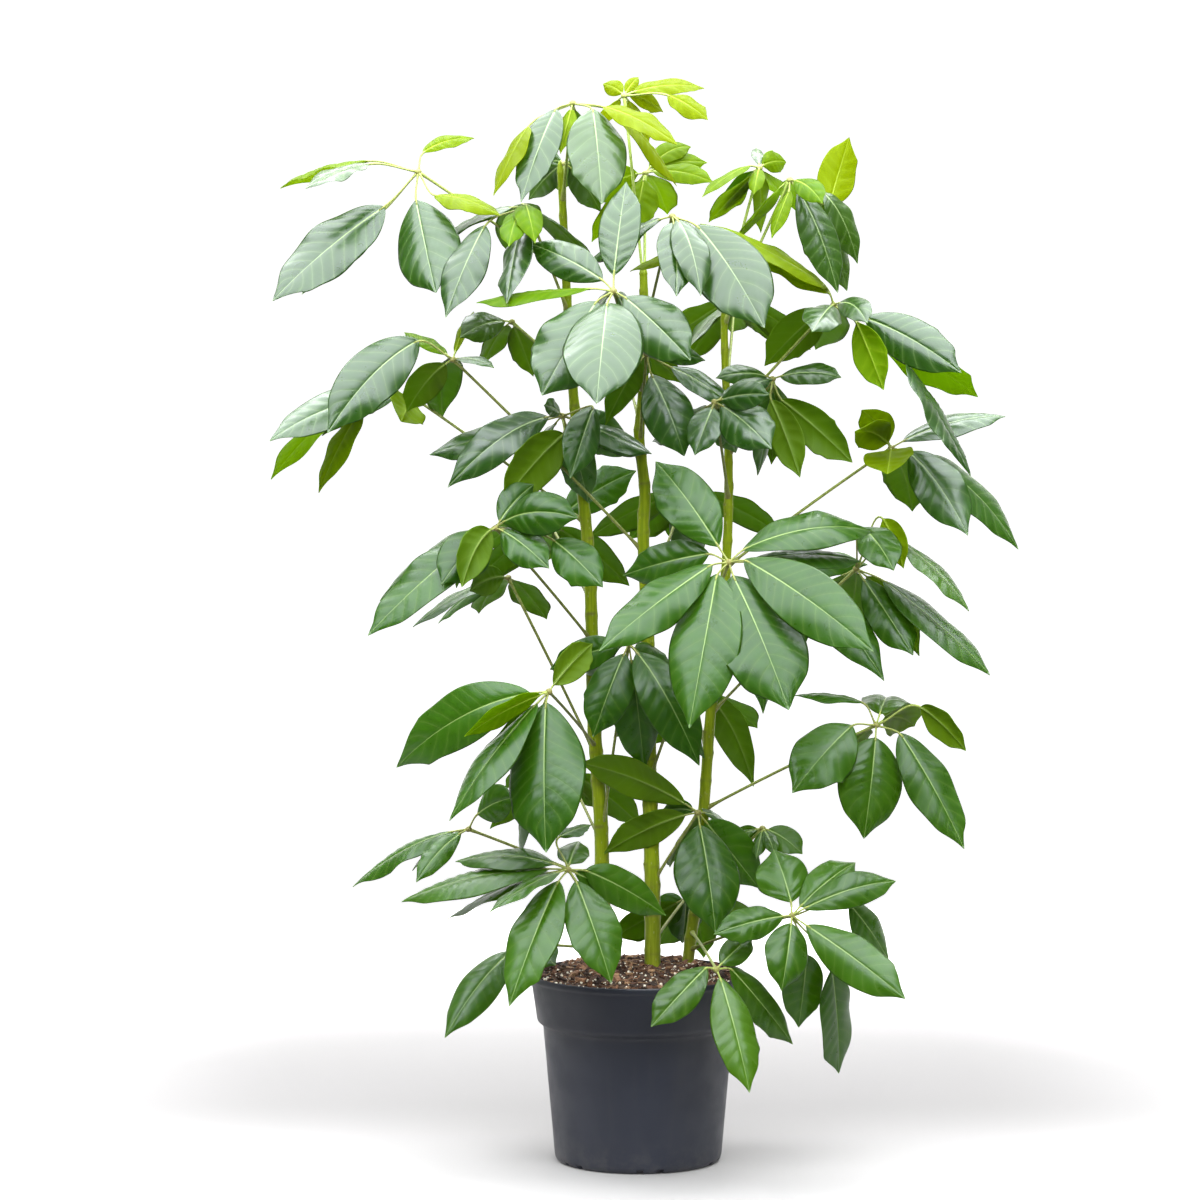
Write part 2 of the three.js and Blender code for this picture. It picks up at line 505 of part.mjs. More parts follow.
// Which way a blade's upper face looks. A leaflet grows with it up and outwards. One that is sighted with a
// width is turned about its spine until it shows that share of its true width, from above or from below.
function faceUp(spine, chord, face, shown) {
  const outwards = chord.clone().addScaledVector(face, -chord.dot(face)).divideScalar(chord.length())
  const natural = face.clone().add(outwards)
  if (shown === null) return natural
  const place = spine.getPoint(FACE_STATION)
  const direction = spine.getTangent(FACE_STATION)
  const sight = EYE.clone().sub(place)
  sight.addScaledVector(direction, -sight.dot(direction)).normalize()
  const edge = direction.clone().cross(sight)
  const edgeShare = Math.sqrt(1 - shown * shown) * (edge.dot(natural) < 0 ? -1 : 1)
  return sight.multiplyScalar(shown).addScaledVector(edge, edgeShare)
}

// The directions across and over a spine, with the blade turned a little more about it.
function crossing(direction, upwards, turn) {
  const side = direction.clone().cross(upwards).normalize()
  const over = side.clone().cross(direction).normalize()
  return {
    sideways: side.clone().multiplyScalar(Math.cos(turn)).addScaledVector(over, Math.sin(turn)),
    above: over.clone().multiplyScalar(Math.cos(turn)).addScaledVector(side, -Math.sin(turn)),
  }
}

// A section of a leaflet: its two edges, with the top and bottom of its rib between them.
function section(place, { sideways, above }, half, drop, top, bottom) {
  return [
    place.clone().addScaledVector(sideways, -half).addScaledVector(above, -drop),
    place.clone().addScaledVector(above, top),
    place.clone().addScaledVector(sideways, half).addScaledVector(above, -drop),
    place.clone().addScaledVector(above, -bottom),
  ]
}

// One leaflet: a thin stalk that rises from the knuckle, and an arched blade with its edges a little lower
// than its rib.
function leafletGeometry({ hub, root, tip, face, width, shown, arch, roll, stations }, bladeOnly) {
  const chord = tip.clone().sub(hub)
  const stalk = Math.min(PETIOLULE_LENGTH, PETIOLULE_SHARE * chord.length())
  const rise = root ? root.clone().sub(hub).normalize()
    : chord.clone().normalize().addScaledVector(face, PETIOLULE_RISE * arch).normalize()
  const start = hub.clone().addScaledVector(rise, KNUCKLE_CORE)
  root ??= hub.clone().addScaledVector(rise, stalk)
  const blade = tip.clone().sub(root)
  const middle = root.clone()
    .addScaledVector(blade, ARCH_STATION)
    .addScaledVector(face, arch * blade.length())
  const spine = new THREE.QuadraticBezierCurve3(root, middle, tip)
  const upwards = faceUp(spine, chord, face, shown)
  const rootWay = spine.getTangent(0).add(rise).normalize()
  const stalkSize = [PETIOLULE_HALF, 0, PETIOLULE_HALF, PETIOLULE_HALF]
  const rings = [section(root, crossing(rootWay, upwards, 0), ...stalkSize)]
  if (!bladeOnly) rings.unshift(section(start, crossing(rise, upwards, 0), ...stalkSize))
  for (const station of stations) {
    const half = (width / 2) * outline(station)
    const across = crossing(spine.getTangent(station), upwards, roll * station)
    rings.push(section(spine.getPoint(station), across, half, half * BLADE_DROOP, RIB_ABOVE, RIB_BELOW))
  }
  return loft(rings, tip)
}

// How a petiole may be bent sideways to stay clear of what stands in its way. And how a leaflet may be bent
// clear of its neighbours, in the order tried: its tip nearer or further along the line of sight, the arch,
// the roll about its spine, and at last its length.
const PETIOLE_BENDS = [0, 10, -10, 20, -20, 32, -32, 48, -48, 66, -66]
const BENDS = []
for (const short of [1, 0.88, 0.75, 0.6]) {
  for (const shift of [0, 12, -12, 25, -25, 40, -40, 60, -60]) {
    for (const arch of [0, 0.1, -0.1]) {
      for (const roll of [0, 0.35, -0.35]) BENDS.push({ short, shift, arch, roll })
    }
  }
}

function towardsEye(place, distance) {
  return place.clone().addScaledVector(EYE.clone().sub(place).normalize(), distance)
}

// The tips of a frond's leaflets, with their widths and arches: those given, then those that go around.
function leafletsOf(frond, hub, count) {
  const list = frond.blades.map(([right, up, reach, width, arch = LEAFLET_ARCH, rootRight, rootUp]) => {
    const flat = sighted(right, up, frond.hub[2])
    const depth = Math.sqrt(Math.max(0, reach * reach - flat.distanceToSquared(hub)))
    const least = LEAST_WIDTH * (1 - PETIOLULE_SHARE) * Math.abs(reach)
    const trueWidth = Math.max(Math.abs(width) * EDGE_SHARE, least)
    const tip = sighted(right, up, frond.hub[2] + Math.sign(reach) * depth)
    let root = null
    if (rootRight !== undefined) {
      const toRoot = Math.hypot(rootRight - frond.hub[0], rootUp - frond.hub[1])
      const toTip = Math.hypot(right - rootRight, up - rootUp)
      const share = toRoot / (toRoot + toTip)
      root = sighted(rootRight, rootUp, frond.hub[2] + Math.sign(reach) * depth * share)
    }
    return { root, tip, width: trueWidth, shown: width / trueWidth, arch, stations: BLADE_STATIONS }
  })
  frond.around.forEach((bearing, i) => {
    const turn = THREE.MathUtils.degToRad(bearing)
    const draw = ([least, spread], kind) => least + spread * share(count + i, kind)
    const fall = draw(AROUND_FALL, 1)
    const reach = frond.size * draw(AROUND_REACH, 2)
    const way = new THREE.Vector3(
      Math.cos(turn) * Math.cos(fall), Math.sin(turn) * Math.cos(fall), -Math.sin(fall)
    )
    list.push({
      root: null,
      tip: hub.clone().addScaledVector(way, reach),
      width: reach * draw(AROUND_WIDTH, 3),
      shown: null,
      arch: LEAFLET_ARCH,
      stations: BACK_STATIONS,
    })
  })
  return list
}

// What is placed so far, for the pieces that are bent clear of it.
const placed = []

function boxesMeet(one, other, margin) {
  for (let k = 0; k < 3; k++) {
    if (one.min[k] > other.max[k] + margin || other.min[k] > one.max[k] + margin) return false
  }
  return true
}

function isClear(made, owner) {
  const box = made.boundingBox()
  for (const other of placed) {
    if (other.owner === owner || !boxesMeet(box, other.box, CLEARANCE)) continue
    if (made.minGap(other.made, CLEARANCE) < CLEARANCE) return false
  }
  return true
}

function place(made, owner) {
  placed.push({ made, owner, box: made.boundingBox() })
}

const mapValues = (object, make) => Object.fromEntries(
  Object.entries(object).map(([name, value]) => [name, make(value, name)])
)

const stemLines = mapValues(STEMS, stemLine)
const pot = potSolid()
const soil = soilSolid(stemLines)
const stems = mapValues(stemLines, (line, name) => solid(stemGeometry(line, STEM_RADII[name], 0)))
const grownStems = mapValues(stemLines, (line, name) => (
  solid(stemGeometry(line, STEM_RADII[name], FIT_GAP))
))
place(pot, 'pot')
place(soil, 'soil')
for (const [name, made] of Object.entries(stems)) place(made, name)

function largestBody(made) {
  return made.decompose().sort((a, b) => b.volume() - a.volume())[0]
}

// A petiole that is seated on its stem and clear of the pieces placed before it, with its knuckle.
function stalkSolid(frond, hub) {
  const foot = stemPoint(stemLines[frond.stem], frond.seat)
  const petioles = PETIOLE_BENDS.map((bend) => () => (
    solid(petioleGeometry(foot, hub, bend)).subtract(grownStems[frond.stem])
  ))
  const make = petioles.find((candidate) => isClear(candidate(), frond.stem))
  const knuckle = solid(new THREE.IcosahedronGeometry(KNUCKLE_RADIUS, 0).translate(hub.x, hub.y, hub.z))
  return largestBody(make()).add(knuckle)
}

// A leaflet in the first bend that is clear of its own frond's blades and of all other pieces.
function leafletSolid(frond, leaflet, hub, face, blades) {
  for (const bend of BENDS) {
    const shape = {
      hub,
      face,
      root: leaflet.root,
      tip: towardsEye(hub.clone().lerp(leaflet.tip, bend.short), bend.shift),
      width: leaflet.width * bend.short,
      shown: leaflet.shown,
      arch: leaflet.arch + bend.arch,
      roll: bend.roll,
      stations: leaflet.stations,
    }
    const blade = solid(leafletGeometry(shape, true))
    if (blades.some((other) => blade.minGap(other, BLADE_GAP) < BLADE_GAP)) continue
    const made = solid(leafletGeometry(shape, false))
    if (isClear(made, frond.name)) {
      blades.push(blade)
      return made
    }
  }
  throw new Error(`no room for a leaflet of ${frond.name} at ${leaflet.tip.toArray()}`)
}

// A finished piece: its mesh stands at its own origin, which for a frond is the knuckle.
function piece(name, made, origin, colour, roughness) {
  const geometry = geometryOf(largestBody(made)).translate(-origin.x, -origin.y, -origin.z)
  const material = new THREE.MeshStandardMaterial({ color: colour, roughness, metalness: 0 })
  const mesh = new THREE.Mesh(geometry, material)
  mesh.name = name
  mesh.position.copy(origin)
  return mesh
}

const base = new THREE.Vector3()
const group = new THREE.Group()
group.add(piece('pot', pot, base, POT_COLOUR, POT_ROUGHNESS))
group.add(piece('soil', soil, base, SOIL_COLOUR, SOIL_ROUGHNESS))
for (const [name, made] of Object.entries(stems)) {
  group.add(piece(`stem_${name}`, made, base, STEM_COLOUR, STEM_ROUGHNESS))
}

// Petioles and knuckles first, then the leaflets round them.
const stalks = FRONDS.map((frond) => {
  const stalk = stalkSolid(frond, sighted(...frond.hub))
  place(stalk, frond.name)
  return stalk
})
let count = 0
FRONDS.forEach((frond, i) => {
  const hub = sighted(...frond.hub)
  const face = new THREE.Vector3(...frond.face).normalize()
  const blades = []
  const parts = [stalks[i]]
  for (const leaflet of leafletsOf(frond, hub, count)) {
    const made = leafletSolid(frond, leaflet, hub, face, blades)
    place(made, frond.name)
    parts.push(made)
    count++
  }
  const whole = wasm.Manifold.union(parts).simplify(SIMPLER)
  const colour = hub.z > YOUNG_FROM_HEIGHT ? LEAF_YOUNG : LEAF_OLD
  group.add(piece(`frond_${frond.name}`, whole, hub, colour, LEAF_ROUGHNESS))
})

export default group
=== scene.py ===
import math

import bpy
import numpy as np
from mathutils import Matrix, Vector
from mathutils.bvhtree import BVHTree


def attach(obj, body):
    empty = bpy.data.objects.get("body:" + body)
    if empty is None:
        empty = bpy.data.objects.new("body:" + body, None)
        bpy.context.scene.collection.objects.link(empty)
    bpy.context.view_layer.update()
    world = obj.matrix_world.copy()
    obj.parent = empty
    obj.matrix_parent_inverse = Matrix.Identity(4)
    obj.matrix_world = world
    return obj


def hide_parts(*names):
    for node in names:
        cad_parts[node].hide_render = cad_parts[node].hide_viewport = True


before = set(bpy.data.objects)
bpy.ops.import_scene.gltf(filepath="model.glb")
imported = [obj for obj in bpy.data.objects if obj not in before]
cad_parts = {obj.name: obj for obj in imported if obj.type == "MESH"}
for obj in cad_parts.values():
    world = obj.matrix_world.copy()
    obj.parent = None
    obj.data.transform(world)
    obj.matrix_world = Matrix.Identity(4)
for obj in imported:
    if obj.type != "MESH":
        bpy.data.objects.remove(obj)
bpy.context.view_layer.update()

# THE POT
# A tapered nursery pot, moulded in one piece from dark grey polypropylene, with a stepped collar that the
# pots are lifted and stacked by. Pairs of drain notches are moulded through its lower edge.
MM = 0.001
METRE = 1000
NO_MARKS = (0, 0, 0)
NO_TINT = (0, 0, 0, 0)
WHOLE_MAP = (0, 0, 1, 1)
UP = np.array([0.0, 0.0, 1.0])


def placed(name, data):
    """A new object that stands in the scene."""
    thing = bpy.data.objects.new(name, data)
    bpy.context.scene.collection.objects.link(thing)
    return thing


class Body:
    """The points and faces of one piece, in millimetres, gathered patch by patch. Each point has three
    marks and a tint for the finish to read, and each face the number of the finish that it wears."""

    def __init__(self):
        self.points, self.faces, self.maps, self.wears = [], [], [], []
        self.marks, self.tints = [], []
        self.count = 0

    def add(self, points, marks=NO_MARKS, tints=NO_TINT):
        """Points of the piece; the first one's number comes back."""
        points = np.reshape(np.array(points, float), (-1, 3))
        total = len(points)
        self.points.append(points)
        self.marks.append(np.broadcast_to(np.asarray(marks, float), (total, 3)))
        self.tints.append(np.broadcast_to(np.asarray(tints, float), (total, 4)))
        self.count += total
        return self.count - total

    def skin(self, grid, wear=0, cell=WHOLE_MAP, under=False, closed=False):
        """Quads over a grid of point numbers, turned over where they are an underside, and joined round
        where the grid is closed; cell is the rectangle that they take on the flat map."""
        if closed:
            grid = np.concatenate([grid, grid[:, :1]], 1)
        rows, columns = grid.shape
        left, low, right, high = cell
        across = left + (right - left) * np.arange(columns) / (columns - 1)
        along = low + (high - low) * np.arange(rows) / (rows - 1)
        flat = np.stack(np.broadcast_arrays(across[None, :], along[:, None]), -1)
        order = [0, 3, 2, 1] if under else [0, 1, 2, 3]
        quads, corners = (
            np.stack([net[:-1, :-1], net[:-1, 1:], net[1:, 1:], net[1:, :-1]], 2)[:, :, order]
            for net in (grid, flat)
        )
        self.faces.append(quads.reshape(-1, 4))
        self.maps.append(corners.reshape(-1, 2))
        self.wears.append(np.full(len(self.faces[-1]), wear))

    def fan(self, ring, middle, wear=0, cell=WHOLE_MAP):
        """Triangles from a closed ring of point numbers to one point."""
        self.faces.append(np.stack([ring, np.roll(ring, -1), np.full(len(ring), middle)], -1))
        centre = ((cell[0] + cell[2]) / 2, (cell[1] + cell[3]) / 2)
        turn = np.linspace(0, 2 * math.pi, len(ring) + 1)
        rim = np.stack([
            centre[0] + (cell[2] - cell[0]) / 2 * np.cos(turn),
            centre[1] + (cell[3] - cell[1]) / 2 * np.sin(turn),
        ], -1)
        flat = np.stack([rim[:-1], rim[1:], np.broadcast_to(centre, rim[1:].shape)], 1)
        self.maps.append(flat.reshape(-1, 2))
        self.wears.append(np.full(len(ring), wear))

    def polygon(self, ring, wear=0, spot=(0, 0)):
        """One flat face through some point numbers, which takes a single spot on the flat map."""
        self.faces.append(ring[None, :])
        self.maps.append(np.repeat([spot], len(ring), 0))
        self.wears.append(np.full(1, wear))

    def flakes(self, start, shells, faces, wear=0):
        """The same loose faces again and again, each set on its own few points."""
        each = np.asarray(faces)
        points = each.max() + 1
        every = (start + points * np.arange(shells))[:, None, None] + each
        self.faces.append(every.reshape(-1, each.shape[1]))
        self.maps.append(np.zeros((every.size, 2)))
        self.wears.append(np.full(shells * len(each), wear))

    def make(self, name, finishes, map_name=None, sharp=None):
        """The finished piece, with edges that are sharper than some degrees left unsmoothed."""
        faces = [face for patch in self.faces for face in patch.tolist()]
        mesh = bpy.data.meshes.new(name)
        mesh.from_pydata((np.concatenate(self.points) * MM).tolist(), [], faces)
        for finish in finishes:
            mesh.materials.append(finish)
        mesh.polygons.foreach_set("material_index", np.concatenate(self.wears).astype(np.int32))
        mesh.shade_smooth()
        if sharp:
            mesh.set_sharp_from_angle(angle=math.radians(sharp))
        if map_name:
            layer = mesh.uv_layers.new(name=map_name)
            layer.uv.foreach_set("vector", np.concatenate(self.maps).ravel().astype(np.float32))
        place = mesh.attributes.new("place", "FLOAT_VECTOR", "POINT")
        place.data.foreach_set("vector", np.concatenate(self.marks).ravel().astype(np.float32))
        tint = mesh.attributes.new("tint", "FLOAT_COLOR", "POINT")
        tint.data.foreach_set("color", np.concatenate(self.tints).ravel().astype(np.float32))
        mesh.update()
        return placed(name, mesh)


def turned(body, profile, sides, tints=NO_TINT):
    """A profile of radii and heights, turned about the pot's axis from its first point to its last."""
    turn = np.arange(sides) * 2 * math.pi / sides
    points = [
        np.stack([radius * np.cos(turn), radius * np.sin(turn), np.full(sides, height)], -1)
        for radius, height in profile if radius > 0
    ]
    start = body.add(points, tints=tints)
    grid = start + np.arange(len(points) * sides).reshape(-1, sides)
    body.skin(grid, closed=True)
    for end, ring in ((0, grid[0][::-1]), (-1, grid[-1])):
        if profile[end][0] == 0:
            body.fan(ring, body.add([(0, 0, profile[end][1])], tints=tints))


def put(tree, kind, sockets=None, **settings):
    """A shader node with its settings, and with its sockets set or linked. A colour is three numbers."""
    node = tree.nodes.new("ShaderNode" + kind)
    for name, value in settings.items():
        setattr(node, name, value)
    for key, value in (sockets or {}).items():
        socket = node.inputs[key]
        if isinstance(value, bpy.types.NodeSocket):
            tree.links.new(value, socket)
        else:
            socket.default_value = (*value, 1) if socket.type == "RGBA" else value
    return node


def new_finish(name):
    finish = bpy.data.materials.new(name)
    finish.use_nodes = True
    finish.node_tree.nodes.clear()
    return finish, finish.node_tree


def maths(tree, operation, first, second=0.0, third=0.0):
    return put(tree, "Math", {0: first, 1: second, 2: third}, operation=operation).outputs[0]


def times(tree, first, second):
    return maths(tree, "MULTIPLY", first, second)


def plus(tree, first, second):
    return maths(tree, "ADD", first, second)


def ramp(tree, value, low, high, start=0.0, end=1.0):
    """A value eased from start, where it is low, to end, where it is high."""
    sockets = {"Value": value, "From Min": low, "From Max": high, "To Min": start, "To Max": end}
    return put(tree, "MapRange", sockets, interpolation_type="SMOOTHSTEP").outputs[0]


def mixed(tree, amount, first, second, blend="MIX"):
    sockets = {0: amount, 6: first, 7: second}
    return put(tree, "Mix", sockets, data_type="RGBA", blend_type=blend).outputs[2]


def own_place(tree):
    """Where a point lies on its piece, in metres."""
    return put(tree, "TexCoord").outputs["Object"]


def three_of(tree, vector):
    return put(tree, "SeparateXYZ", {0: vector}).outputs


def marks_of(tree):
    """The three marks that the mesh holds for each point."""
    return three_of(tree, put(tree, "Attribute", attribute_name="place").outputs["Vector"])


def grain(tree, scale, detail=3.0, roughness=0.5, stretch=None):
    """Noise over the piece's own coordinates, in grains a metre."""
    place = own_place(tree)
    if stretch:
        place = put(tree, "Mapping", {"Vector": place, "Scale": stretch}).outputs[0]
    sockets = {"Vector": place, "Scale": scale, "Detail": detail, "Roughness": roughness}
    return put(tree, "TexNoise", sockets).outputs["Fac"]


def surface(tree, colour, roughness, relief=None, depth=1.0, **constants):
    """The shader that most finishes end in; relief is a height, and depth its scale in millimetres."""
    sockets = {"Base Color": colour, "Roughness": roughness}
    sockets.update({key.replace("_", " "): value for key, value in constants.items()})
    if relief is not None:
        bump = put(tree, "Bump", {"Height": relief, "Distance": depth * MM, "Strength": 1.0})
        sockets["Normal"] = bump.outputs[0]
    return put(tree, "BsdfPrincipled", sockets).outputs[0]


def close(tree, shader):
    put(tree, "OutputMaterial", {"Surface": shader})


FOOT_RADIUS = 97
BODY_FOOT = (105, 8)
BODY_TOP = (119.5, 171)
COLLAR = (127, 179)
RIM_RADIUS = 135.5
RIM_HEIGHT = 236
WALL = 2.4
FLOOR = 3
POT_SIDES = 192
POT_SHARP = 40
DRAIN_PAIRS = 6
DRAIN_FIRST = 4.85
DRAIN_SPREAD = 0.25
DRAIN_SIZE = (31, 8, 10)
DRAIN_RADIUS = 104.5
PLASTIC_DARK = (0.0105, 0.0125, 0.0215)
PLASTIC_PALE = (0.013, 0.0155, 0.026)
FLOW_MARK = (0.018, 0.019, 0.026)
FLOW_STRETCH = (1, 1, 0.06)
POTTING_DUST = (0.07, 0.065, 0.06)
DUST_HEIGHT = 0.05
COLLAR_PAINTED_SHADOW = (0.004, 0.0045, 0.008)
COLLAR_SHADOW_FADE = (0.12, 0.19)

# The pot's section in radii and heights: under the foot, up the outside, over the rim and down the inside.
pot_profile = [
    (0, 1.2), (70, 1.2), (72, 0.4), (74, 0), (FOOT_RADIUS, 0), (99.6, 0.5), (102.3, 1.9), (104.1, 4.4),
    BODY_FOOT, (105.8, 16), (108, 41), (111, 75), (114.2, 111), (117.2, 145), (118.9, 164), (119.3, 168.6),
    (120.1, 170.8), (122, 172.9), (124.9, 175.1), (126.4, 176.9), (127.2, 179.6), (127.7, 183),
    (129.6, 196), (132.4, 214), (134.3, 226.2), (134.5, 228), (135.3, 229), (RIM_RADIUS, 230.4),
    (RIM_RADIUS, 234), (135.2, 235.2), (134.4, RIM_HEIGHT), (133.6, 235.7), (133.1, 234.4), (131.2, 222),
    (COLLAR[0] - WALL, COLLAR[1]), (BODY_TOP[0] - WALL, BODY_TOP[1]), (BODY_FOOT[0] - WALL, BODY_FOOT[1]),
    (FOOT_RADIUS, FLOOR), (0, FLOOR),
]
plastic, tree = new_finish("dark_polypropylene")
broad = grain(tree, 9, 4, 0.55)
flow = grain(tree, 60, 2, 0.5, FLOW_STRETCH)
fine = grain(tree, 1500, 2)
low_down = three_of(tree, own_place(tree))["Z"]
shade = mixed(tree, ramp(tree, broad, 0.3, 0.7), PLASTIC_DARK, PLASTIC_PALE)
shade = mixed(tree, ramp(tree, flow, 0.52, 0.75, 0, 0.35), shade, FLOW_MARK)
dusty = ramp(tree, grain(tree, 45, 5, 0.7), 0.4, 0.7)
dust = times(tree, ramp(tree, low_down, 0.0, DUST_HEIGHT, 1, 0), dusty)
shade = mixed(tree, times(tree, dust, 0.35), shade, POTTING_DUST)
# From 0.12 m to 0.19 m up, the pot is painted half way towards near black, and it stays so over the collar
# and rim: painted shadow of the fronds above.
shade = mixed(tree, ramp(tree, low_down, *COLLAR_SHADOW_FADE, 0, 0.5), shade, COLLAR_PAINTED_SHADOW)
gloss = ramp(tree, grain(tree, 30, 4), 0.3, 0.7, 0.42, 0.55)
relief = plus(tree, times(tree, fine, 0.08), times(tree, broad, 0.9))
close(tree, surface(tree, shade, gloss, relief, 0.5))

body = Body()
turned(body, pot_profile, POT_SIDES)
pot = body.make("nursery_pot", [plastic], sharp=POT_SHARP)

# The drain notches: boxes that are cut through the foot's edge, two and two.
cube = np.array([(x, y, z) for z in (-1, 1) for y in (-1, 1) for x in (-1, 1)]) / 2
cube_faces = [(0, 2, 3, 1), (4, 5, 7, 6), (0, 1, 5, 4), (2, 6, 7, 3), (0, 4, 6, 2), (1, 3, 7, 5)]
notches = Body()
for pair in range(DRAIN_PAIRS):
    for side in (-0.5, 0.5):
        turn = DRAIN_FIRST + pair / DRAIN_PAIRS * 2 * math.pi + side * DRAIN_SPREAD
        across, along = math.cos(turn), math.sin(turn)
        spin = np.array([[across, along, 0], [-along, across, 0], [0, 0, 1]])
        start = notches.add((cube * DRAIN_SIZE + (DRAIN_RADIUS, 0, 0)) @ spin)
        notches.flakes(start, 1, cube_faces)
cutter = notches.make("drain_cutter", [plastic])
cut = pot.modifiers.new("drain", "BOOLEAN")
cut.operation = "DIFFERENCE"
cut.solver = "EXACT"
cut.object = cutter
bpy.context.view_layer.update()
moulded = bpy.data.meshes.new_from_object(pot.evaluated_get(bpy.context.evaluated_depsgraph_get()))
pot.modifiers.clear()
pot.data = moulded
bpy.data.objects.remove(cutter)
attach(pot, "root")
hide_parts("pot")

# THE SOIL
# A potting mix of dark peat and composted bark, with white perlite grains and a few fibres. It is filled in
# to just under the rim and heaped round the stems.
SOIL_EDGE = 132.0
SOIL_HEIGHT = 229
SOIL_HEAP = 20
SOIL_RELIEF = 1.6
SOIL_WAVES = (13, 11, 29)
SOIL_RINGS = 44
SOIL_SIDES = 160
SOIL_SHARP = 38
SOIL_FIT = 0.3
TOP_ABOVE = 226
EDGE_FADE = 6
CRUMB_WAVES = ((1.3, 5.1, 0.4), (0.9, 2.9, 2.0), (0.6, 1.9, 4.1))
PEAT = (0.052, 0.028, 0.018, 1)
STEM_FEET = ((-38, 22), (18, -14), (62, 18))
STEM_ROOM = 10
SOIL_SEED = 11
ANY_WAY = 6.3

draw = np.random.default_rng(SOIL_SEED)


def soil_height(x, y):
    out = np.hypot(x, y) / RIM_RADIUS
    relief = np.sin(x / SOIL_WAVES[0]) * np.cos(y / SOIL_WAVES[1] + x / SOIL_WAVES[2])
    return SOIL_HEIGHT + SOIL_HEAP * (1 - out * out) + SOIL_RELIEF * relief


def spots_on_soil(total, margin):
    """Places on the soil's surface, clear of the rim and the stems."""
    found = []
    while len(found) < total:
        x, y = draw.uniform(-SOIL_EDGE, SOIL_EDGE, 2)
        near = min(math.hypot(x - a, y - b) for a, b in STEM_FEET)
        if math.hypot(x, y) < SOIL_EDGE - margin and near > STEM_ROOM + margin / 2:
            found.append((x, y, soil_height(x, y)))
    return np.array(found)


def tumbled(total, lean):
    """A turn in space for each bit, lying nearly flat where lean is small."""
    spin, tip = draw.uniform(0, 2 * math.pi, total), draw.normal(0, lean, total)
    way = draw.uniform(0, ANY_WAY, total)
    flat = np.stack([np.cos(spin), np.sin(spin), 0 * spin], -1)
    up = np.stack([np.sin(tip) * np.cos(way), np.sin(tip) * np.sin(way), np.cos(tip)], -1)
    across = np.cross(up, flat)
    across /= np.linalg.norm(across, axis=-1, keepdims=True)
    return np.stack([np.cross(across, up), across, up], 1)


mix, tree = new_finish("potting_mix")
bits = grain(tree, 420, 6, 0.7)
shade = mixed(tree, ramp(tree, bits, 0.3, 0.7), (0.35, 0.33, 0.31), (1.5, 1.45, 1.4))
shade = mixed(tree, 1.0, put(tree, "Attribute", attribute_name="tint").outputs["Color"], shade, "MULTIPLY")
fibre = grain(tree, 900, 4, 0.6, (1, 0.2, 1))
close(tree, surface(tree, shade, 0.9, plus(tree, bits, times(tree, fibre, 0.5)), 1.4))

perlite, tree = new_finish("perlite")
pores = grain(tree, 900, 4, 0.7)
shade = mixed(tree, ramp(tree, pores, 0.3, 0.6), (0.5, 0.42, 0.3), (0.86, 0.8, 0.68))
close(tree, surface(tree, shade, 0.85, pores, 0.8))

# The fill: it follows the pot's inside, and its top is crumbly.
body = Body()
soil_profile = [
    (0, FLOOR + SOIL_FIT), (96.7, FLOOR + SOIL_FIT), (102.3, 8.3), (116.8, 171.3), (124.3, 179.3),
    (130.9, 223),
] + [(SOIL_EDGE * i / SOIL_RINGS, SOIL_HEIGHT) for i in range(SOIL_RINGS, -1, -1)]
turned(body, soil_profile, SOIL_SIDES, PEAT)
for points in body.points:
    x, y, z = points.T
    inward = np.clip((SOIL_EDGE - np.hypot(x, y)) / EDGE_FADE, 0, 1)
    rough = sum(
        size * np.sin(x / wave + turn) * np.cos(y / (wave * 0.8) - turn) for size, wave, turn in CRUMB_WAVES
    )
    points[:, 2] += np.where(z > TOP_ABOVE, (soil_height(x, y) + rough - z) * inward, 0)

# The bark: flat flakes from fine crumbs to chips, from near black to tan. A size that is drawn is given as
# the least, the spread, and the power that makes large ones rare.
CHIPS = 1900
CHIP_SIZE = (2.2, 7.5, 2.6)
CHIP_WIDTH = (0.35, 0.8)
CHIP_DEPTH = (0.15, 0.4)
CHIP_RAGGED = (0.6, 1.15)
CHIP_FULL = 1.6
CHIP_LEAN = 0.5
CHIP_LIFT = 0.9
CHIP_MARGIN = 6
BARK_TONES = np.array([
    (0.03, 0.016, 0.011), (0.07, 0.034, 0.02), (0.12, 0.055, 0.03), (0.19, 0.095, 0.05), (0.3, 0.18, 0.1),
])
BARK_SHARES = (0.24, 0.3, 0.24, 0.15, 0.07)
BARK_SPREAD = (0.8, 1.2)


def drawn_sizes(total, least, spread, power):
    return least + spread * draw.random(total) ** power


size = drawn_sizes(CHIPS, *CHIP_SIZE)
width, depth = size * draw.uniform(*CHIP_WIDTH, CHIPS), size * draw.uniform(*CHIP_DEPTH, CHIPS)
ragged = cube * draw.uniform(*CHIP_RAGGED, (CHIPS, len(cube), 3)) * CHIP_FULL
ragged = ragged * np.stack([size, width, depth], -1)[:, None, :]
chips = ragged @ tumbled(CHIPS, CHIP_LEAN)
chips = chips + (spots_on_soil(CHIPS, CHIP_MARGIN) + CHIP_LIFT * UP)[:, None, :]
tone = BARK_TONES[draw.choice(len(BARK_TONES), CHIPS, p=BARK_SHARES)]
tone = np.concatenate([tone * draw.uniform(*BARK_SPREAD, (CHIPS, 1)), np.ones((CHIPS, 1))], -1)
start = body.add(chips, tints=np.repeat(tone, len(cube), 0))
body.flakes(start, CHIPS, cube_faces)

# The perlite: small puffed grains with twenty faces, more of them near the front of the rim.
PERLITE = 330
PERLITE_SIZE = (0.8, 1.3, 1.8)
PERLITE_PUFF = (0.75, 1.2)
PERLITE_LIFT = 1.8
PERLITE_SPREAD = 75
PERLITE_MARGIN = 4
GOLDEN = (1 + math.sqrt(5)) / 2
NEAR_CORNER = 1.1

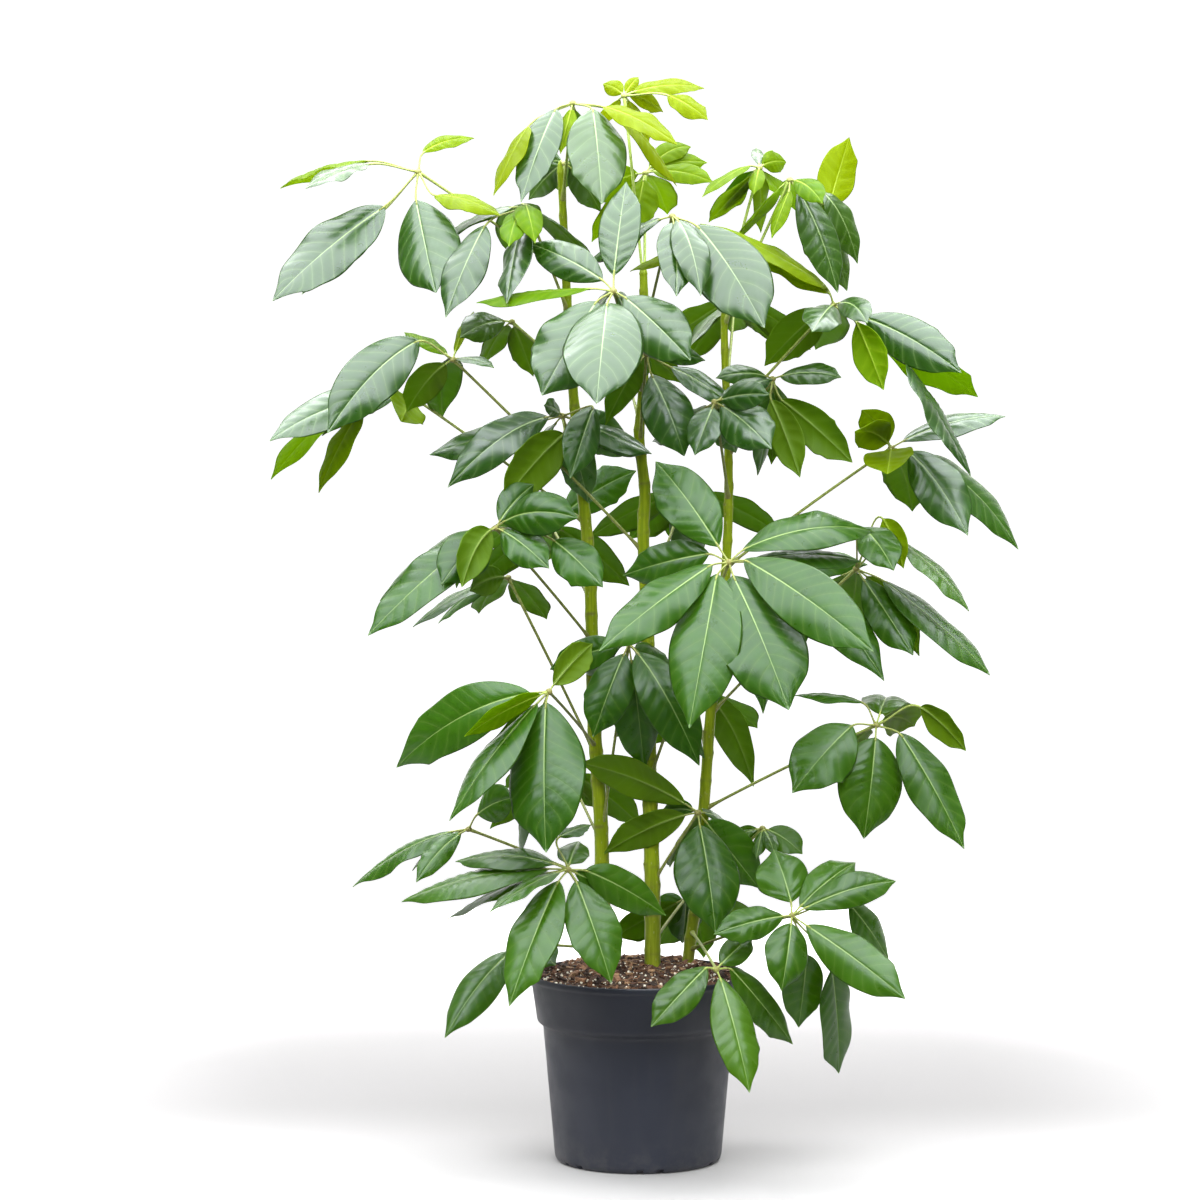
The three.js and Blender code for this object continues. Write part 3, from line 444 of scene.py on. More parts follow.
ball = np.array([(0, a, b * GOLDEN) for a in (-1, 1) for b in (-1, 1)])
ball = np.concatenate([ball, ball[:, [2, 0, 1]], ball[:, [1, 2, 0]]]) / math.hypot(1, GOLDEN)
near = np.linalg.norm(ball[:, None] - ball, axis=-1) < NEAR_CORNER
every = range(len(ball))
ball_faces = [
    (a, b, c) for a in every for b in every for c in every
    if a < min(b, c) and b != c and near[a, b] and near[b, c] and near[c, a]
    and np.dot(np.cross(ball[b] - ball[a], ball[c] - ball[a]), ball[a]) > 0
]
spots = spots_on_soil(PERLITE * 3, PERLITE_MARGIN)
spots = spots[np.argsort(spots[:, 1] + draw.normal(0, PERLITE_SPREAD, PERLITE * 3))[:PERLITE]]
size = drawn_sizes(PERLITE, *PERLITE_SIZE)
grains = ball * draw.uniform(*PERLITE_PUFF, (PERLITE, len(ball), 3)) * size[:, None, None]
start = body.add(grains + (spots + PERLITE_LIFT * UP)[:, None, :])
body.flakes(start, PERLITE, ball_faces, wear=1)

# The fibres: thin strands of root and coir that lie on the mix.
FIBRES = 70
FIBRE_LENGTH = (8, 26)
FIBRE_BOW = 5
FIBRE_LIFT = (2.4, 1.5)
FIBRE_HALF = 0.45
FIBRE_RINGS = 7
FIBRE_MARGIN = 16
FIBRE_TAN = (0.24, 0.15, 0.08, 1)

for spot in spots_on_soil(FIBRES, FIBRE_MARGIN):
    turn, bow = draw.uniform(0, ANY_WAY), draw.uniform(-FIBRE_BOW, FIBRE_BOW)
    length = draw.uniform(*FIBRE_LENGTH)
    along = np.linspace(-0.5, 0.5, FIBRE_RINGS)[:, None]
    way = np.array([math.cos(turn), math.sin(turn)])
    aside = np.array([-way[1], way[0], 0])
    flat = spot[:2] + along * length * way + bow * (0.25 - along ** 2) * aside[:2]
    lift = soil_height(*flat.T) + FIBRE_LIFT[0] + draw.uniform(0, FIBRE_LIFT[1])
    line = np.concatenate([flat, lift[:, None]], -1)
    section = np.array([aside, UP, -aside, -UP]) * FIBRE_HALF
    start = body.add(line[:, None, :] + section, tints=FIBRE_TAN)
    grid = start + np.arange(FIBRE_RINGS * 4).reshape(-1, 4)
    body.skin(grid, closed=True)
    body.polygon(grid[0, ::-1])
    body.polygon(grid[-1])
soil = body.make("bark_soil", [mix, perlite], sharp=SOIL_SHARP)
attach(soil, "root")
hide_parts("soil")

# THE STEMS
# Three cuttings of different height, potted together: upright green wood, olive and turning brown towards
# the soil, with a swollen joint and a scar where each frond grows or has dropped, and a bud at the tip.
EYE = np.array([-48.0, -5000.0, 1000.0])
STEMS = dict(
    left=[(-38, 240, 22), (-44, 320, 22), (-47, 430, 20), (-56, 560, 18), (-58, 660, 16), (-62, 760, 14),
          (-74, 880, 10), (-84, 1000, 6), (-90, 1100, 2), (-94, 1190, 0), (-97, 1235, 0)],
    middle=[(18, 240, -14), (18, 330, -14), (14, 480, -12), (12, 655, -10), (6, 790, -10), (8, 840, -10),
            (1, 910, -8), (5, 960, -4), (8, 1040, 4), (6, 1110, 10)],
    right=[(62, 240, 18), (74, 340, 18), (83, 454, 16), (92, 580, 14), (106, 700, 14), (112, 800, 16),
           (112, 900, 18), (107, 1053, 20), (112, 1110, 20)],
)
STEM_FOOT_HEIGHT = 150
STEM_RADII = dict(left=(9.6, 4.4), middle=(10.2, 5), right=(7.6, 4.2))
STEM_TAPER = 1.5
STEM_RINGS = 300
STEM_SIDES = 18
STEM_SEED = 20
KNOT_STEPS = 80
JOINT_SPACING = 34
JOINT_FIRST = 0.6
JOINT_STRAY = 8
JOINT_TURN = 2.4
JOINT_SWELL = 1.0
JOINT_REACH = 5.5
SCAR_DEPTH = 0.5
SCAR_REACH = 1.3
SCAR_TILT = 3
BUD_LENGTH = 16
BUD_RINGS = 9
BUD_START = 0.1
BUD_WIDTH = 1.15
BUD_TAPER = (0.9, 0.6)
END_BULGE = (0.3, 0.4)
END_CELL = 0.02
YOUNG_WOOD = ((0.145, 0.205, 0.004), (0.235, 0.295, 0.008))
OLD_WOOD = ((0.12, 0.115, 0.018), (0.20, 0.18, 0.045))
LENTICEL = (0.32, 0.33, 0.12)
SCAR_BROWN = (0.10, 0.085, 0.03)


def sighted(right, up, behind):
    """A place that is given as the eye sights it on the upright plane through the pot's axis."""
    reach = (behind - EYE[1]) / -EYE[1]
    return np.array([EYE[0] + (right - EYE[0]) * reach, behind, EYE[2] + (up - EYE[2]) * reach])


def unit(vector):
    return vector / np.linalg.norm(vector, axis=-1, keepdims=True)


def smooth_line(knots, steps):
    """A line that runs evenly through its knots, as a stem grows, at even distances along it."""
    knots = np.array([2 * knots[0] - knots[1], *knots, 2 * knots[-1] - knots[-2]])
    dense = []
    for before, near, far, after in zip(knots, knots[1:], knots[2:], knots[3:]):
        gaps = [math.sqrt(np.linalg.norm(b - a)) for a, b in ((before, near), (near, far), (far, after))]
        out = (near - before) / gaps[0] - (far - before) / (gaps[0] + gaps[1]) + (far - near) / gaps[1]
        into = (far - near) / gaps[1] - (after - near) / (gaps[1] + gaps[2]) + (after - far) / gaps[2]
        out, into = out * gaps[1], into * gaps[1]
        s = np.linspace(0, 1, KNOT_STEPS, endpoint=False)[:, None]
        dense.append(near + out * s + (3 * (far - near) - 2 * out - into) * s ** 2
                     + (2 * (near - far) + out + into) * s ** 3)
    dense = np.concatenate([*dense, knots[-2:-1]])
    gone = np.concatenate([[0], np.cumsum(np.linalg.norm(np.diff(dense, axis=0), axis=1))])
    at = np.linspace(0, gone[-1], steps)
    return np.stack([np.interp(at, gone, dense[:, k]) for k in range(3)], -1)


def tube(body, line, radii, sides, marks, tint=NO_TINT, wear=0, cell=WHOLE_MAP, swell=0):
    """A closed round tube along a line. marks are three for each ring, or for each point of each ring.
    swell adds to the radius, ring by ring and side by side."""
    along = unit(np.gradient(line, axis=0))
    across = unit(np.cross((0, 1, 0), along))
    over = unit(np.cross(along, across))
    turn = np.arange(sides) * 2 * math.pi / sides
    radius = np.broadcast_to(np.reshape(radii, (-1, 1)), (len(line), sides)) + swell
    ring = np.cos(turn)[:, None] * across[:, None, :] + np.sin(turn)[:, None] * over[:, None, :]
    points = line[:, None, :] + radius[:, :, None] * ring
    marks = np.broadcast_to(np.reshape(marks, (len(line), -1, 3)), points.shape).reshape(-1, 3)
    start = body.add(points, marks, tint)
    grid = start + np.arange(len(line) * sides).reshape(-1, sides)
    body.skin(grid, wear, cell, closed=True)
    ends = body.add([line[0] - along[0] * radius[0, 0] * END_BULGE[0],
                     line[-1] + along[-1] * radius[-1, 0] * END_BULGE[1]], marks[[0, -1]], tint)
    left, low, right, high = cell
    small = (left, low, left + (right - left) * END_CELL, low + (high - low) * END_CELL)
    body.fan(grid[0][::-1], ends, wear, small)
    body.fan(grid[-1], ends + 1, wear, small)


bark, tree = new_finish("green_wood")
height, joint, _ = marks_of(tree)
lines = grain(tree, 260, 5, 0.6, (1, 1, 0.07))
blotch = grain(tree, 34, 4, 0.6)
woody = ramp(tree, lines, 0.35, 0.7)
low_down = plus(tree, ramp(tree, height, 0.0, 0.2, 0.3, 0), ramp(tree, blotch, 0.5, 0.75, 0, 0.3))
shade = mixed(tree, low_down, mixed(tree, woody, *YOUNG_WOOD), mixed(tree, woody, *OLD_WOOD))
long_spots = put(tree, "Mapping", {"Vector": own_place(tree), "Scale": (1, 1, 0.45)}).outputs[0]
lenticels = put(tree, "TexVoronoi", {"Vector": long_spots, "Scale": 190}).outputs["Distance"]
spot = ramp(tree, lenticels, 0.1, 0.2, 1, 0)
shade = mixed(tree, times(tree, spot, 0.4), shade, LENTICEL)
shade = mixed(tree, times(tree, joint, 0.75), shade, SCAR_BROWN)
relief = plus(tree, lines, times(tree, spot, 0.6))
gloss = ramp(tree, blotch, 0.3, 0.7, 0.38, 0.55)
close(tree, surface(tree, shade, gloss, relief, 0.5, Specular_IOR_Level=0.2))

stem_lines = {}
turn = np.arange(STEM_SIDES) * 2 * math.pi / STEM_SIDES
for number, (name, knots) in enumerate(STEMS.items()):
    knots = [sighted(*knot) for knot in knots]
    knots.insert(0, np.array([knots[0][0], knots[0][1], STEM_FOOT_HEIGHT]))
    line = stem_lines[name] = smooth_line(knots, STEM_RINGS)
    share = np.linspace(0, 1, STEM_RINGS)
    foot_radius, tip_radius = STEM_RADII[name]
    radii = foot_radius + (tip_radius - foot_radius) * share ** STEM_TAPER
    length = np.linalg.norm(np.diff(line, axis=0), axis=1).sum()
    bud = np.linspace(BUD_START, 1, BUD_RINGS)
    line = np.concatenate([line, line[-1] + bud[:, None] * BUD_LENGTH * unit(line[-1] - line[-2])])
    radii = np.concatenate([radii, tip_radius * BUD_WIDTH * (1 - bud * BUD_TAPER[0]) ** BUD_TAPER[1]])
    gone = np.concatenate([share * length, length + bud * BUD_LENGTH])
    swell = np.zeros((len(line), STEM_SIDES))
    scar = np.zeros_like(swell)
    draw = np.random.default_rng(STEM_SEED + number)
    for k in range(int(length / JOINT_SPACING)):
        at = (k + JOINT_FIRST) * JOINT_SPACING + draw.uniform(-JOINT_STRAY, JOINT_STRAY)
        facing = np.cos(turn - k * JOINT_TURN - number)
        near = gone[:, None] - at
        bulge = np.exp(-(near / JOINT_REACH) ** 2) * (0.6 + 0.4 * facing)
        ridge = np.exp(-((near - SCAR_TILT * facing) / SCAR_REACH) ** 2)
        ridge = ridge * (0.35 + 0.65 * np.clip(facing, 0, 1))
        swell += JOINT_SWELL * bulge + SCAR_DEPTH * ridge
        scar = np.maximum(scar, ridge)
    height = np.broadcast_to((line[:, 2:] - SOIL_HEIGHT) / METRE, scar.shape)
    body = Body()
    tube(body, line, radii, STEM_SIDES, np.stack([height, scar, 0 * scar], -1), swell=swell)
    stem = body.make("stem_wood_" + name, [bark], map_name="OFBake")
    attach(stem, "root")
    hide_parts("stem_" + name)

# THE FRONDS
# Each is one long round stalk that ends in a knuckle, with a whorl of leathery, glossy leaflets on short
# stalks of their own. They have a sunken pale midrib, quilted blades between side veins, wavy edges, often
# a coarse tooth or two, and a drawn-out tip. The newest, at the top, are still thin and yellow-green.

# seat: the height where the stalk leaves its stem. hub: the knuckle, as sighted. face: the way that the
# whorl faces. young: 0 for a dark old frond to 1 for a fresh one. around: the bearings of leaflets that
# only show from other sides, and size: how far those reach. blades: for each leaflet its tip as sighted,
# the distance from knuckle to tip, with a minus sign where it leans towards the eye, the width as sighted,
# with a minus sign where the underside shows, and for some an arch of its own and where the blade begins,
# as sighted. ages: what stands in for young for single leaflets, by their place in blades.
FROND_COLUMNS = ("name", "stem", "seat", "hub", "face", "young", "around", "size", "blades", "ages")
FRONDS = [
    ("left_top", "left", 1110, (-274, 1238, -10), (-0.2, -0.3, 1), 0.3, [], 165,
     [[-446, 1219, 185, -11, 0.1, -336, 1252], [-414, 1218, -155, 17, 0.1, -336, 1248],
      [-204, 1280, 95, 16, 0.15, -268, 1262], [-457, 1081, -250, 64, 0.05, -316, 1195],
      [-423, 1089, 214, 32, 0.05, -318, 1190], [-254, 1090, -180, 80, 0, -277, 1203],
      [-172, 1186, -145, 22, 0.12, -253, 1209]],
     {0: 0.75, 1: 0.35, 2: 0.8, 3: 0.1, 4: 0.3, 5: 0.12, 6: 0.85}),
    ("left_top_inner", "left", 1065, (-140, 1195, -70), (-0.2, -0.4, 1), 0.25, [40, 95, 150], 140,
     [[-241, 1058, -180, 48, 0.08, -191, 1172], [-165, 1075, -158, 32, 0.08, -145, 1174],
      [-162, 1148, -120, 34], [-128, 1152, -112, 34]], {0: 0.1, 1: 0.1, 2: 0.55, 3: 0.6}),
    ("top", "left", 1200, (-82, 1323, -50), (0.05, -0.5, 1), 0.4, [80], 120,
     [[-181, 1209, -160, 22, 0.12, -138, 1294], [-147, 1202, -156, 45, 0.12, -103, 1316],
      [-98, 1262, -80, 22], [-45, 1199, -155, 72, 0.1, -57, 1316], [48, 1272, -148, 26, 0.12, -44, 1319],
      [49, 1221, 172, 11, 0.12, -26, 1310]], {0: 1.0, 1: 0.12, 2: 0.75, 3: 0.3, 4: 1.0, 5: 0.95}),
    ("top_inner", "left", 1120, (-92, 1248, 45), (0, -0.3, 1), 0.35, [95], 85,
     [[-137, 1203, 84, 34], [-46, 1188, 94, 38], [-58, 1232, 66, 26], [-128, 1238, 58, 24]], {}),
    ("top_right", "middle", 1095, (-18, 1332, 30), (0.1, -0.3, 1), 1.0, [60, 130], 85,
     [[0, 1356, 40, 15], [-45, 1347, 42, 22], [82, 1342, 112, 18], [86, 1303, -118, 26, 0.1, 36, 1333],
      [32, 1312, 80, 22]], {}),
    ("top_back", "middle", 1070, (8, 1236, 70), (0.1, 0.2, 1), 0.7, [75, 140], 120,
     [[-5, 1165, -100, 44], [86, 1250, 100, 26], [92, 1226, -105, 26], [66, 1270, 95, 26],
      [-70, 1200, 110, 40]], {}),
    ("middle_top", "middle", 965, (-31, 1090, -195), (0, -1, 0.55), 0.12, [70, 110], 120,
     [[-16, 1227, 148, 50, 0.12, -31, 1110], [-136, 1150, 140, 46, 0.12, -45, 1104],
      [-121, 961, -160, 86, 0.1, -52, 1078], [-52, 951, -158, 92, 0.08, -39, 1076],
      [65, 1005, -131, 68, 0.1, -18, 1083], [-203, 1080, 178, 12, 0.04, -60, 1094]], {5: 0.55}),
    ("right_top_inner", "middle", 1040, (42, 1183, -145), (0.2, -0.6, 0.8), 0.15, [75, 145], 130,
     [[48, 1085, -125, 46], [78, 1085, -130, 42], [157, 1045, -190, 86, 0.1, 72, 1172],
      [-11, 1115, 112, 12, 0.15, 74, 1143]], {3: 0.8}),
    ("right_top", "right", 1095, (150, 1243, -10), (0.1, -0.2, 1), 0.7, [70, 140], 105,
     [[184, 1250, 60, 28], [143, 1211, -62, 20], [78, 1209, -100, 13, 0.1, 138, 1246],
      [153, 1162, 100, 20], [105, 1194, 85, -22], [146, 1268, 50, 16]], {4: 0.1, 5: 0.3}),
    ("right_top_outer", "right", 1050, (188, 1228, -60), (0.3, -0.4, 0.9), 0.65, [80, 140], 125,
     [[262, 1281, 112, 48, -0.12, 238, 1200], [164, 1157, -85, 18, 0.08, 187, 1215], [249, 1088, -152, 44],
      [274, 1124, 146, 26, 0.1, 230, 1212], [262, 1090, 172, 40, 0.1, 222, 1212], [228, 1200, -95, 30]],
     {0: 0.9, 1: 0.7, 2: 0.25, 3: 0.35, 4: 0.5, 5: 0.55}),
    ("right_upper", "right", 930, (243, 1073, -50), (0.3, -0.4, 1), 0.3, [95], 155,
     [[77, 1175, -206, 20, 0.08, 236, 1094], [137, 1156, -152, 28, 0.08, 238, 1088], [216, 1040, -105, 46],
      [284, 1052, -92, 34], [402, 990, -186, 58, 0.08, 282, 1057], [424, 962, 216, -46, 0.05, 300, 1035],
      [306, 967, -140, -42, 0.04, 272, 1050], [157, 998, 130, -52], [417, 862, -280, 16, 0.02, 334, 1001]],
     {0: 0.8, 1: 0.75, 2: 0.2, 3: 0.2, 4: 0.1, 5: 0.6, 6: 0.6, 7: 0.3, 8: 0.15}),
    ("right_inner", "right", 885, (167, 981, -10), (0.3, -0.3, 1), 0.15, [85, 140], 140,
     [[97, 983, -95, 26], [252, 984, -112, 28], [268, 877, -150, -46, 0.04, 178, 955],
      [202, 858, -136, -42, 0.06, 165, 955], [167, 876, 122, -36], [151, 860, 132, 26]], {}),
    ("middle_upper_left", "middle", 900, (10, 1012, -60), (0.2, -0.8, 0.8), 0.05, [110], 120,
     [[58, 885, -138, 62, 0.12, 16, 986], [119, 948, -125, 28, 0.1, 40, 996], [84, 1004, 86, 26],
      [-42, 925, 115, -36]], {}),
    ("middle_upper", "right", 830, (95, 952, -95), (0.1, -0.8, 0.8), 0, [65, 130], 120,
     [[70, 886, -76, 42], [166, 894, -104, 60], [168, 982, 90, 22], [122, 888, 100, 44],
      [162, 962, -88, 36]], {}),
    ("right_middle", "right", 745, (315, 895, -20), (0.2, 0.35, 0.9), 0.3, [70], 135,
     [[277, 944, -95, -40], [268, 918, -105, -46], [311, 861, -104, -60], [458, 938, 156, 28],
      [412, 787, -152, 62, 0.14, 337, 890], [478, 770, 210, 36, 0.2, 350, 882]],
     {0: 0.75, 1: 0.75, 2: 0.75, 3: 0.1, 4: 0.1, 5: 0.15}),
    ("centre", "middle", 480, (113, 752, -205), (0.1, -1, 0.55), 0.1, [], 130,
     [[21, 880, 162, 68, 0.12, 100, 772], [-20, 736, 148, 50, 0.12, 88, 763],
      [-50, 643, -200, 56, 0.1, 92, 750], [63, 545, -228, 84, 0.1, 98, 738],
      [189, 568, -215, 104, 0.1, 118, 736], [294, 641, -224, 74, 0.12, 132, 756],
      [298, 794, 200, 44, 0.34, 130, 768], [280, 757, 178, 24, 0.2, 134, 753]], {}),
    ("centre_back", "right", 600, (150, 735, 20), (0.2, -0.2, 1), 0.1, [75, 130], 145,
     [[308, 604, -210, 52], [204, 634, -128, 56], [158, 563, -180, 42], [288, 752, 145, 34]], {}),
    ("right_lower_middle", "right", 560, (272, 744, 0), (0.3, -0.2, 1), 0.15, [90, 150], 140,
     [[332, 744, -100, -34, 0.1, 306, 806], [416, 694, -180, 20, 0.1, 318, 784],
      [443, 614, -222, 34, 0.04, 306, 730], [352, 636, 142, -42], [344, 636, -142, 50],
      [319, 743, -120, 50, 0.1, 280, 796]], {0: 0.7, 1: 0.35, 2: 0.2, 3: 0.5}),
    ("right_lower", "right", 440, (298, 548, -40), (0.2, -0.4, 1), 0.3, [125], 130,
     [[195, 588, 118, 10, 0.1, 281, 577], [193, 464, -146, 74, 0.1, 268, 548], [284, 405, -150, 80],
      [410, 393, -198, 56, 0.06, 328, 538], [411, 516, -125, -32, 0.1, 354, 571],
      [310, 562, 150, -60, 0.35], [345, 548, 150, -50, 0.3]],
     {0: 0.1, 1: 0.15, 2: 0.25, 3: 0.2, 4: 0.45, 5: 0.5, 6: 0.5}),
    ("right_bottom", "right", 262, (193, 308, -140), (0.2, -0.9, 0.7), 0.2, [], 130,
     [[170, 392, 98, 66, 0.1, 192, 325], [274, 377, 125, 48], [325, 353, 142, 42],
      [336, 204, -184, 58, 0.05, 211, 296], [181, 213, -106, 54], [95, 285, -108, 42],
      [202, 166, 152, 50, 0.08, 212, 258], [256, 107, 218, 42, 0.05, 244, 240],
      [316, 252, 160, 38, 0.08, 265, 323]], {}),
    ("right_bottom_young", "right", 330, (156, 418, 0), (0.1, -0.2, 1), 0.3, [70, 140], 80,
     [[206, 386, -70, 34], [172, 384, -50, 18], [148, 380, -52, 18], [110, 392, 62, 24]], {}),
    ("pot_front", "right", 285, (98, 240, -172), (0.2, -1, 0.6), 0.35, [], 90,
     [[16, 168, -115, 46, 0.1, 86, 243], [143, 284, 72, 34], [196, 145, 142, 38, 0.05, 116, 242],
      [141, 84, -172, 52, 0.08, 103, 230]], {}),
    ("lower_centre", "middle", 350, (75, 438, -50), (0.1, -0.7, 0.8), 0.15, [60, 110], 130,
     [[-72, 502, 166, -46], [98, 287, -166, 80, 0.1, 77, 423], [152, 342, 138, 60], [28, 440, 70, 24],
      [-43, 387, 138, -42]], {}),
    ("centre_left", "left", 405, (-12, 650, -65), (0, -0.9, 0.7), 0.05, [60, 120], 125,
     [[-57, 533, -128, 58], [78, 497, -184, 62], [8, 490, 168, 62], [86, 506, 196, 46],
      [-112, 618, 112, 42]], {}),
    ("left_upper", "middle", 765, (-231, 1005, -60), (-0.3, -0.4, 1), 0.1, [100], 140,
     [[-388, 914, -192, 68, 0.15, -274, 1029], [-289, 941, 100, -42], [-180, 997, -80, 12],
      [-292, 1040, 90, 16, 0.1], [-206, 1066, 75, 13]], {1: 0.3, 3: 0.6, 4: 0.8}),
    ("left_upper_back", "left", 800, (-281, 958, 50), (-0.2, 0, 1), 0.3, [150], 140,
     [[-461, 907, -200, 46, 0.14], [-460, 857, 216, -30, 0.1, -352, 962],
      [-401, 840, 172, -28, 0.1, -345, 945], [-297, 927, -95, -52]], {0: 0.1, 1: 0.65, 2: 0.7, 3: 0.7}),
    ("left_inner", "left", 985, (-158, 1052, -5), (-0.2, 0, 1), 0.4, [70, 120], 100,
     [[-222, 1033, -88, 38]], {}),
    ("left_middle_inner", "left", 840, (-95, 935, -40), (0, -0.6, 0.9), 0.05, [25, 125], 125,
     [[-171, 826, -140, -56, 0.1, -93, 912], [-116, 948, -60, 22], [-84, 858, -112, 46, 0.1, -56, 946],
      [-5, 886, 112, 50], [-62, 826, 125, 46], [-262, 888, 180, 26], [-239, 846, -172, 46]], {0: 0.3}),
    ("left_middle", "left", 652, (-178, 795, -110), (-0.3, -0.5, 1), 0.05, [60, 120], 135,
     [[-246, 725, -106, 60], [-340, 663, -214, 52, 0.14, -192, 793], [-325, 705, 186, 22],
      [-112, 746, -100, 48], [-76, 808, -118, 54], [-130, 850, 82, 40],
      [-44, 722, -160, 54, 0.1, -106, 780], [-221, 721, -100, -42]], {}),
    ("left_middle_lower", "left", 505, (-163, 733, 30), (-0.2, -0.1, 1), 0.1, [60, 110], 120,
     [[-283, 672, -142, 13], [-252, 677, 112, 14], [-212, 716, -80, -36]], {}),
    ("left_lower", "left", 520, (-112, 590, -175), (-0.2, -1, 0.6), 0.1, [], 120,
     [[-307, 494, 222, 66, 0.3], [-219, 535, -132, -24], [-239, 429, -212, 36],
      [-117, 388, -214, 94, 0.1, -116, 577], [-205, 462, 175, -40], [-155, 370, 230, 36],
      [-58, 650, 88, -38]], {1: 0.6, 6: 0.4}),
    ("left_bottom", "left", 345, (-213, 417, 20), (-0.3, -0.1, 1), 0.15, [145], 115,
     [[-359, 345, 172, 17], [-279, 351, -102, 30], [-156, 457, -95, 46, 0.1, -202, 436]], {}),
    ("front_left", "left", 285, (-88, 366, -185), (-0.05, -0.8, 0.9), 0.2, [], 120,
     [[-300, 330, 218, 28], [-230, 377, 155, 26, 0.18], [-241, 305, 172, 14], [-188, 315, -122, 16],
      [-163, 194, -200, 58, 0.1, -100, 352], [-33, 223, -160, 62, 0.1, -78, 352],
      [36, 308, 142, 46, 0.1, -66, 365], [-12, 330, 92, 28], [-74, 404, 90, 38],
      [-59, 424, 76, 15, 0.05, -99, 408]], {}),
    ("left_rim", "left", 262, (-146, 272, 40), (-0.3, -0.4, 1), 0.15, [80, 130], 120,
     [[-244, 154, -170, 48], [-104, 246, -66, 44]], {}),
    ("back_bottom", "middle", 275, (60, 330, 120), (0.2, 0.8, 0.8), 0.1, [40, 75, 110, 150], 135,
     [[56, 272, 70, 44], [20, 300, 60, 40]], {}),
    ("back_low_left", "left", 395, (-90, 490, 150), (-0.2, 0.8, 0.9), 0.1, [15, 60, 95, 130, 175, 240], 130,
     [], {}),
    ("back_low_right", "right", 500, (70, 590, 150), (0.2, 0.8, 0.9), 0.15, [50, 90, 125, 165, 230], 135,
     [[146, 470, -150, -44, 0.3]], {}),
    ("back_middle_left", "left", 700, (-110, 800, 160), (-0.2, 0.8, 0.9), 0.1, [10, 55, 95, 135, 180], 135,
     [[-3, 867, -128, 50, 0.1, -92, 814]], {}),
    ("back_middle_right", "middle", 700, (60, 840, 150), (0.2, 0.8, 0.9), 0.15, [10, 55, 95, 135, 180], 130,
     [[70, 742, 125, 50, 0.1, 58, 826]], {}),
    ("back_upper_left", "middle", 925, (-30, 1045, 130), (-0.2, 0.8, 0.9), 0.3, [10, 60, 95, 135, 180], 115,
     [], {}),
    ("back_upper_right", "right", 960, (120, 1080, 150), (0.2, 0.8, 0.9), 0.35,
     [0, 50, 90, 130, 175, 240], 125, [], {}),
]

STALK_RADIUS = 2.2
STALK_SLIM = 0.35
STALK_FOOT = (4.4, 18)
STALK_FOOT_REACH = 14
STALK_SWELL = (0.9, 9)
STALK_STAIN = 13
STALK_ARCH = 0.02
STALK_BENDS = (0, 10, -10, 20, -20, 32, -32, 48, -48, 66, -66)
STALK_SPANS = 4
STALK_SIDES = 10
STALK_RINGS = 34
STALK_CROWDING = 1.15
KNUCKLE = (4.4, 3.6)
KNUCKLE_SIDES = 12
KNUCKLE_RINGS = 9
KNUCKLE_CUT = 0.94
KNUCKLE_CORE = 2.5
LEAFLET_STALK = (24, 0.12)
LEAFLET_STALK_RISE = 2.6
LEAFLET_STALK_SIDES = 8
LEAFLET_STALK_RINGS = 12
LEAFLET_STALK_RADIUS = 1.15
LEAFLET_STALK_FLARE = (0.75, 0.1)
LEAFLET_STALK_BULGE = (0.3, 0.85, 0.15)
LEAFLET_STALK_INTO = 0.05
LEAFLET_STALK_EASE = 0.4
LEAFLET_STALK_SINK = 0.8
LEAFLET_STALK_FRESHER = 0.25
RIB_ABOVE = 0.6
RIB_BELOW = 1.0
OUTLINE_LEAN = 0.88
OUTLINE_FULLNESS = 0.72
LEAST_WIDTH = 0.36
EDGE_SHARE = 1.04
LEAFLET_ARCH = 0.12
ARCH_STATION = 0.45
BLADE_DROOP = 0.2
FACE_STATION = 0.6
AROUND_FALL = (0.25, 0.5)
AROUND_REACH = (0.9, 0.2)
AROUND_WIDTH = (0.34, 0.1)
DRAW_STEP = 0.7548776662
DRAW_KIND_STEP = 0.5698402910
# How a leaflet can be shortened, moved towards the eye, arched and rolled until it lies on its solid.
LEAFLET_BENDS = [
    (short, shift, arch, roll)
    for short in (1, 0.88, 0.75, 0.6) for shift in (0, 12, -12, 25, -25, 40, -40, 60, -60)
    for arch in (0, 0.1, -0.1) for roll in (0, 0.35, -0.35)
]
FITS = 0.12
FAR_OFF = 4
TOP_LIT_ABOVE = 800
LEAFLET_SEEDS = (1000, 50)
STALK_SEED = 9000

# How finely a blade is made: the stations that the solid has, and the rows and columns that it gets here.
SEEN_BLADE = dict(stations=(0.2, 0.5, 0.8), rows=40, columns=(0.24, 0.38, 0.53, 0.68, 0.82, 0.94, 1.0))
BACK_BLADE = dict(stations=(0.28, 0.7), rows=26, columns=(0.3, 0.55, 0.8, 1.0))
RIB_COLUMNS = ((1.0, 0.07), (2.4, 0.16))


def misfit(solid, points):
    """How far some points lie from a solid's surface, on average, with a limit for each."""
    far = [solid.find_nearest(point, FAR_OFF)[3] for point in np.reshape(points, (-1, 3)).tolist()]
    return sum(FAR_OFF if gap is None else gap for gap in far) / len(far)


def closest(solid, choices, points_of):
    """The first choice whose points lie on the solid, or else the one that comes nearest."""
    best, least = None, math.inf
    for choice in choices:
        gap = misfit(solid, points_of(choice))
        if gap < least:
            best, least = choice, gap
        if gap < FITS:
            break
    return best


def bowed(start, middle, end, at):
    """Places and directions along a line that bows from start by middle to end."""
    at = np.reshape(at, (-1, 1))
    place = (1 - at) ** 2 * start + 2 * at * (1 - at) * middle + at ** 2 * end
    way = 2 * (1 - at) * (middle - start) + 2 * at * (end - middle)
    return place, unit(way)


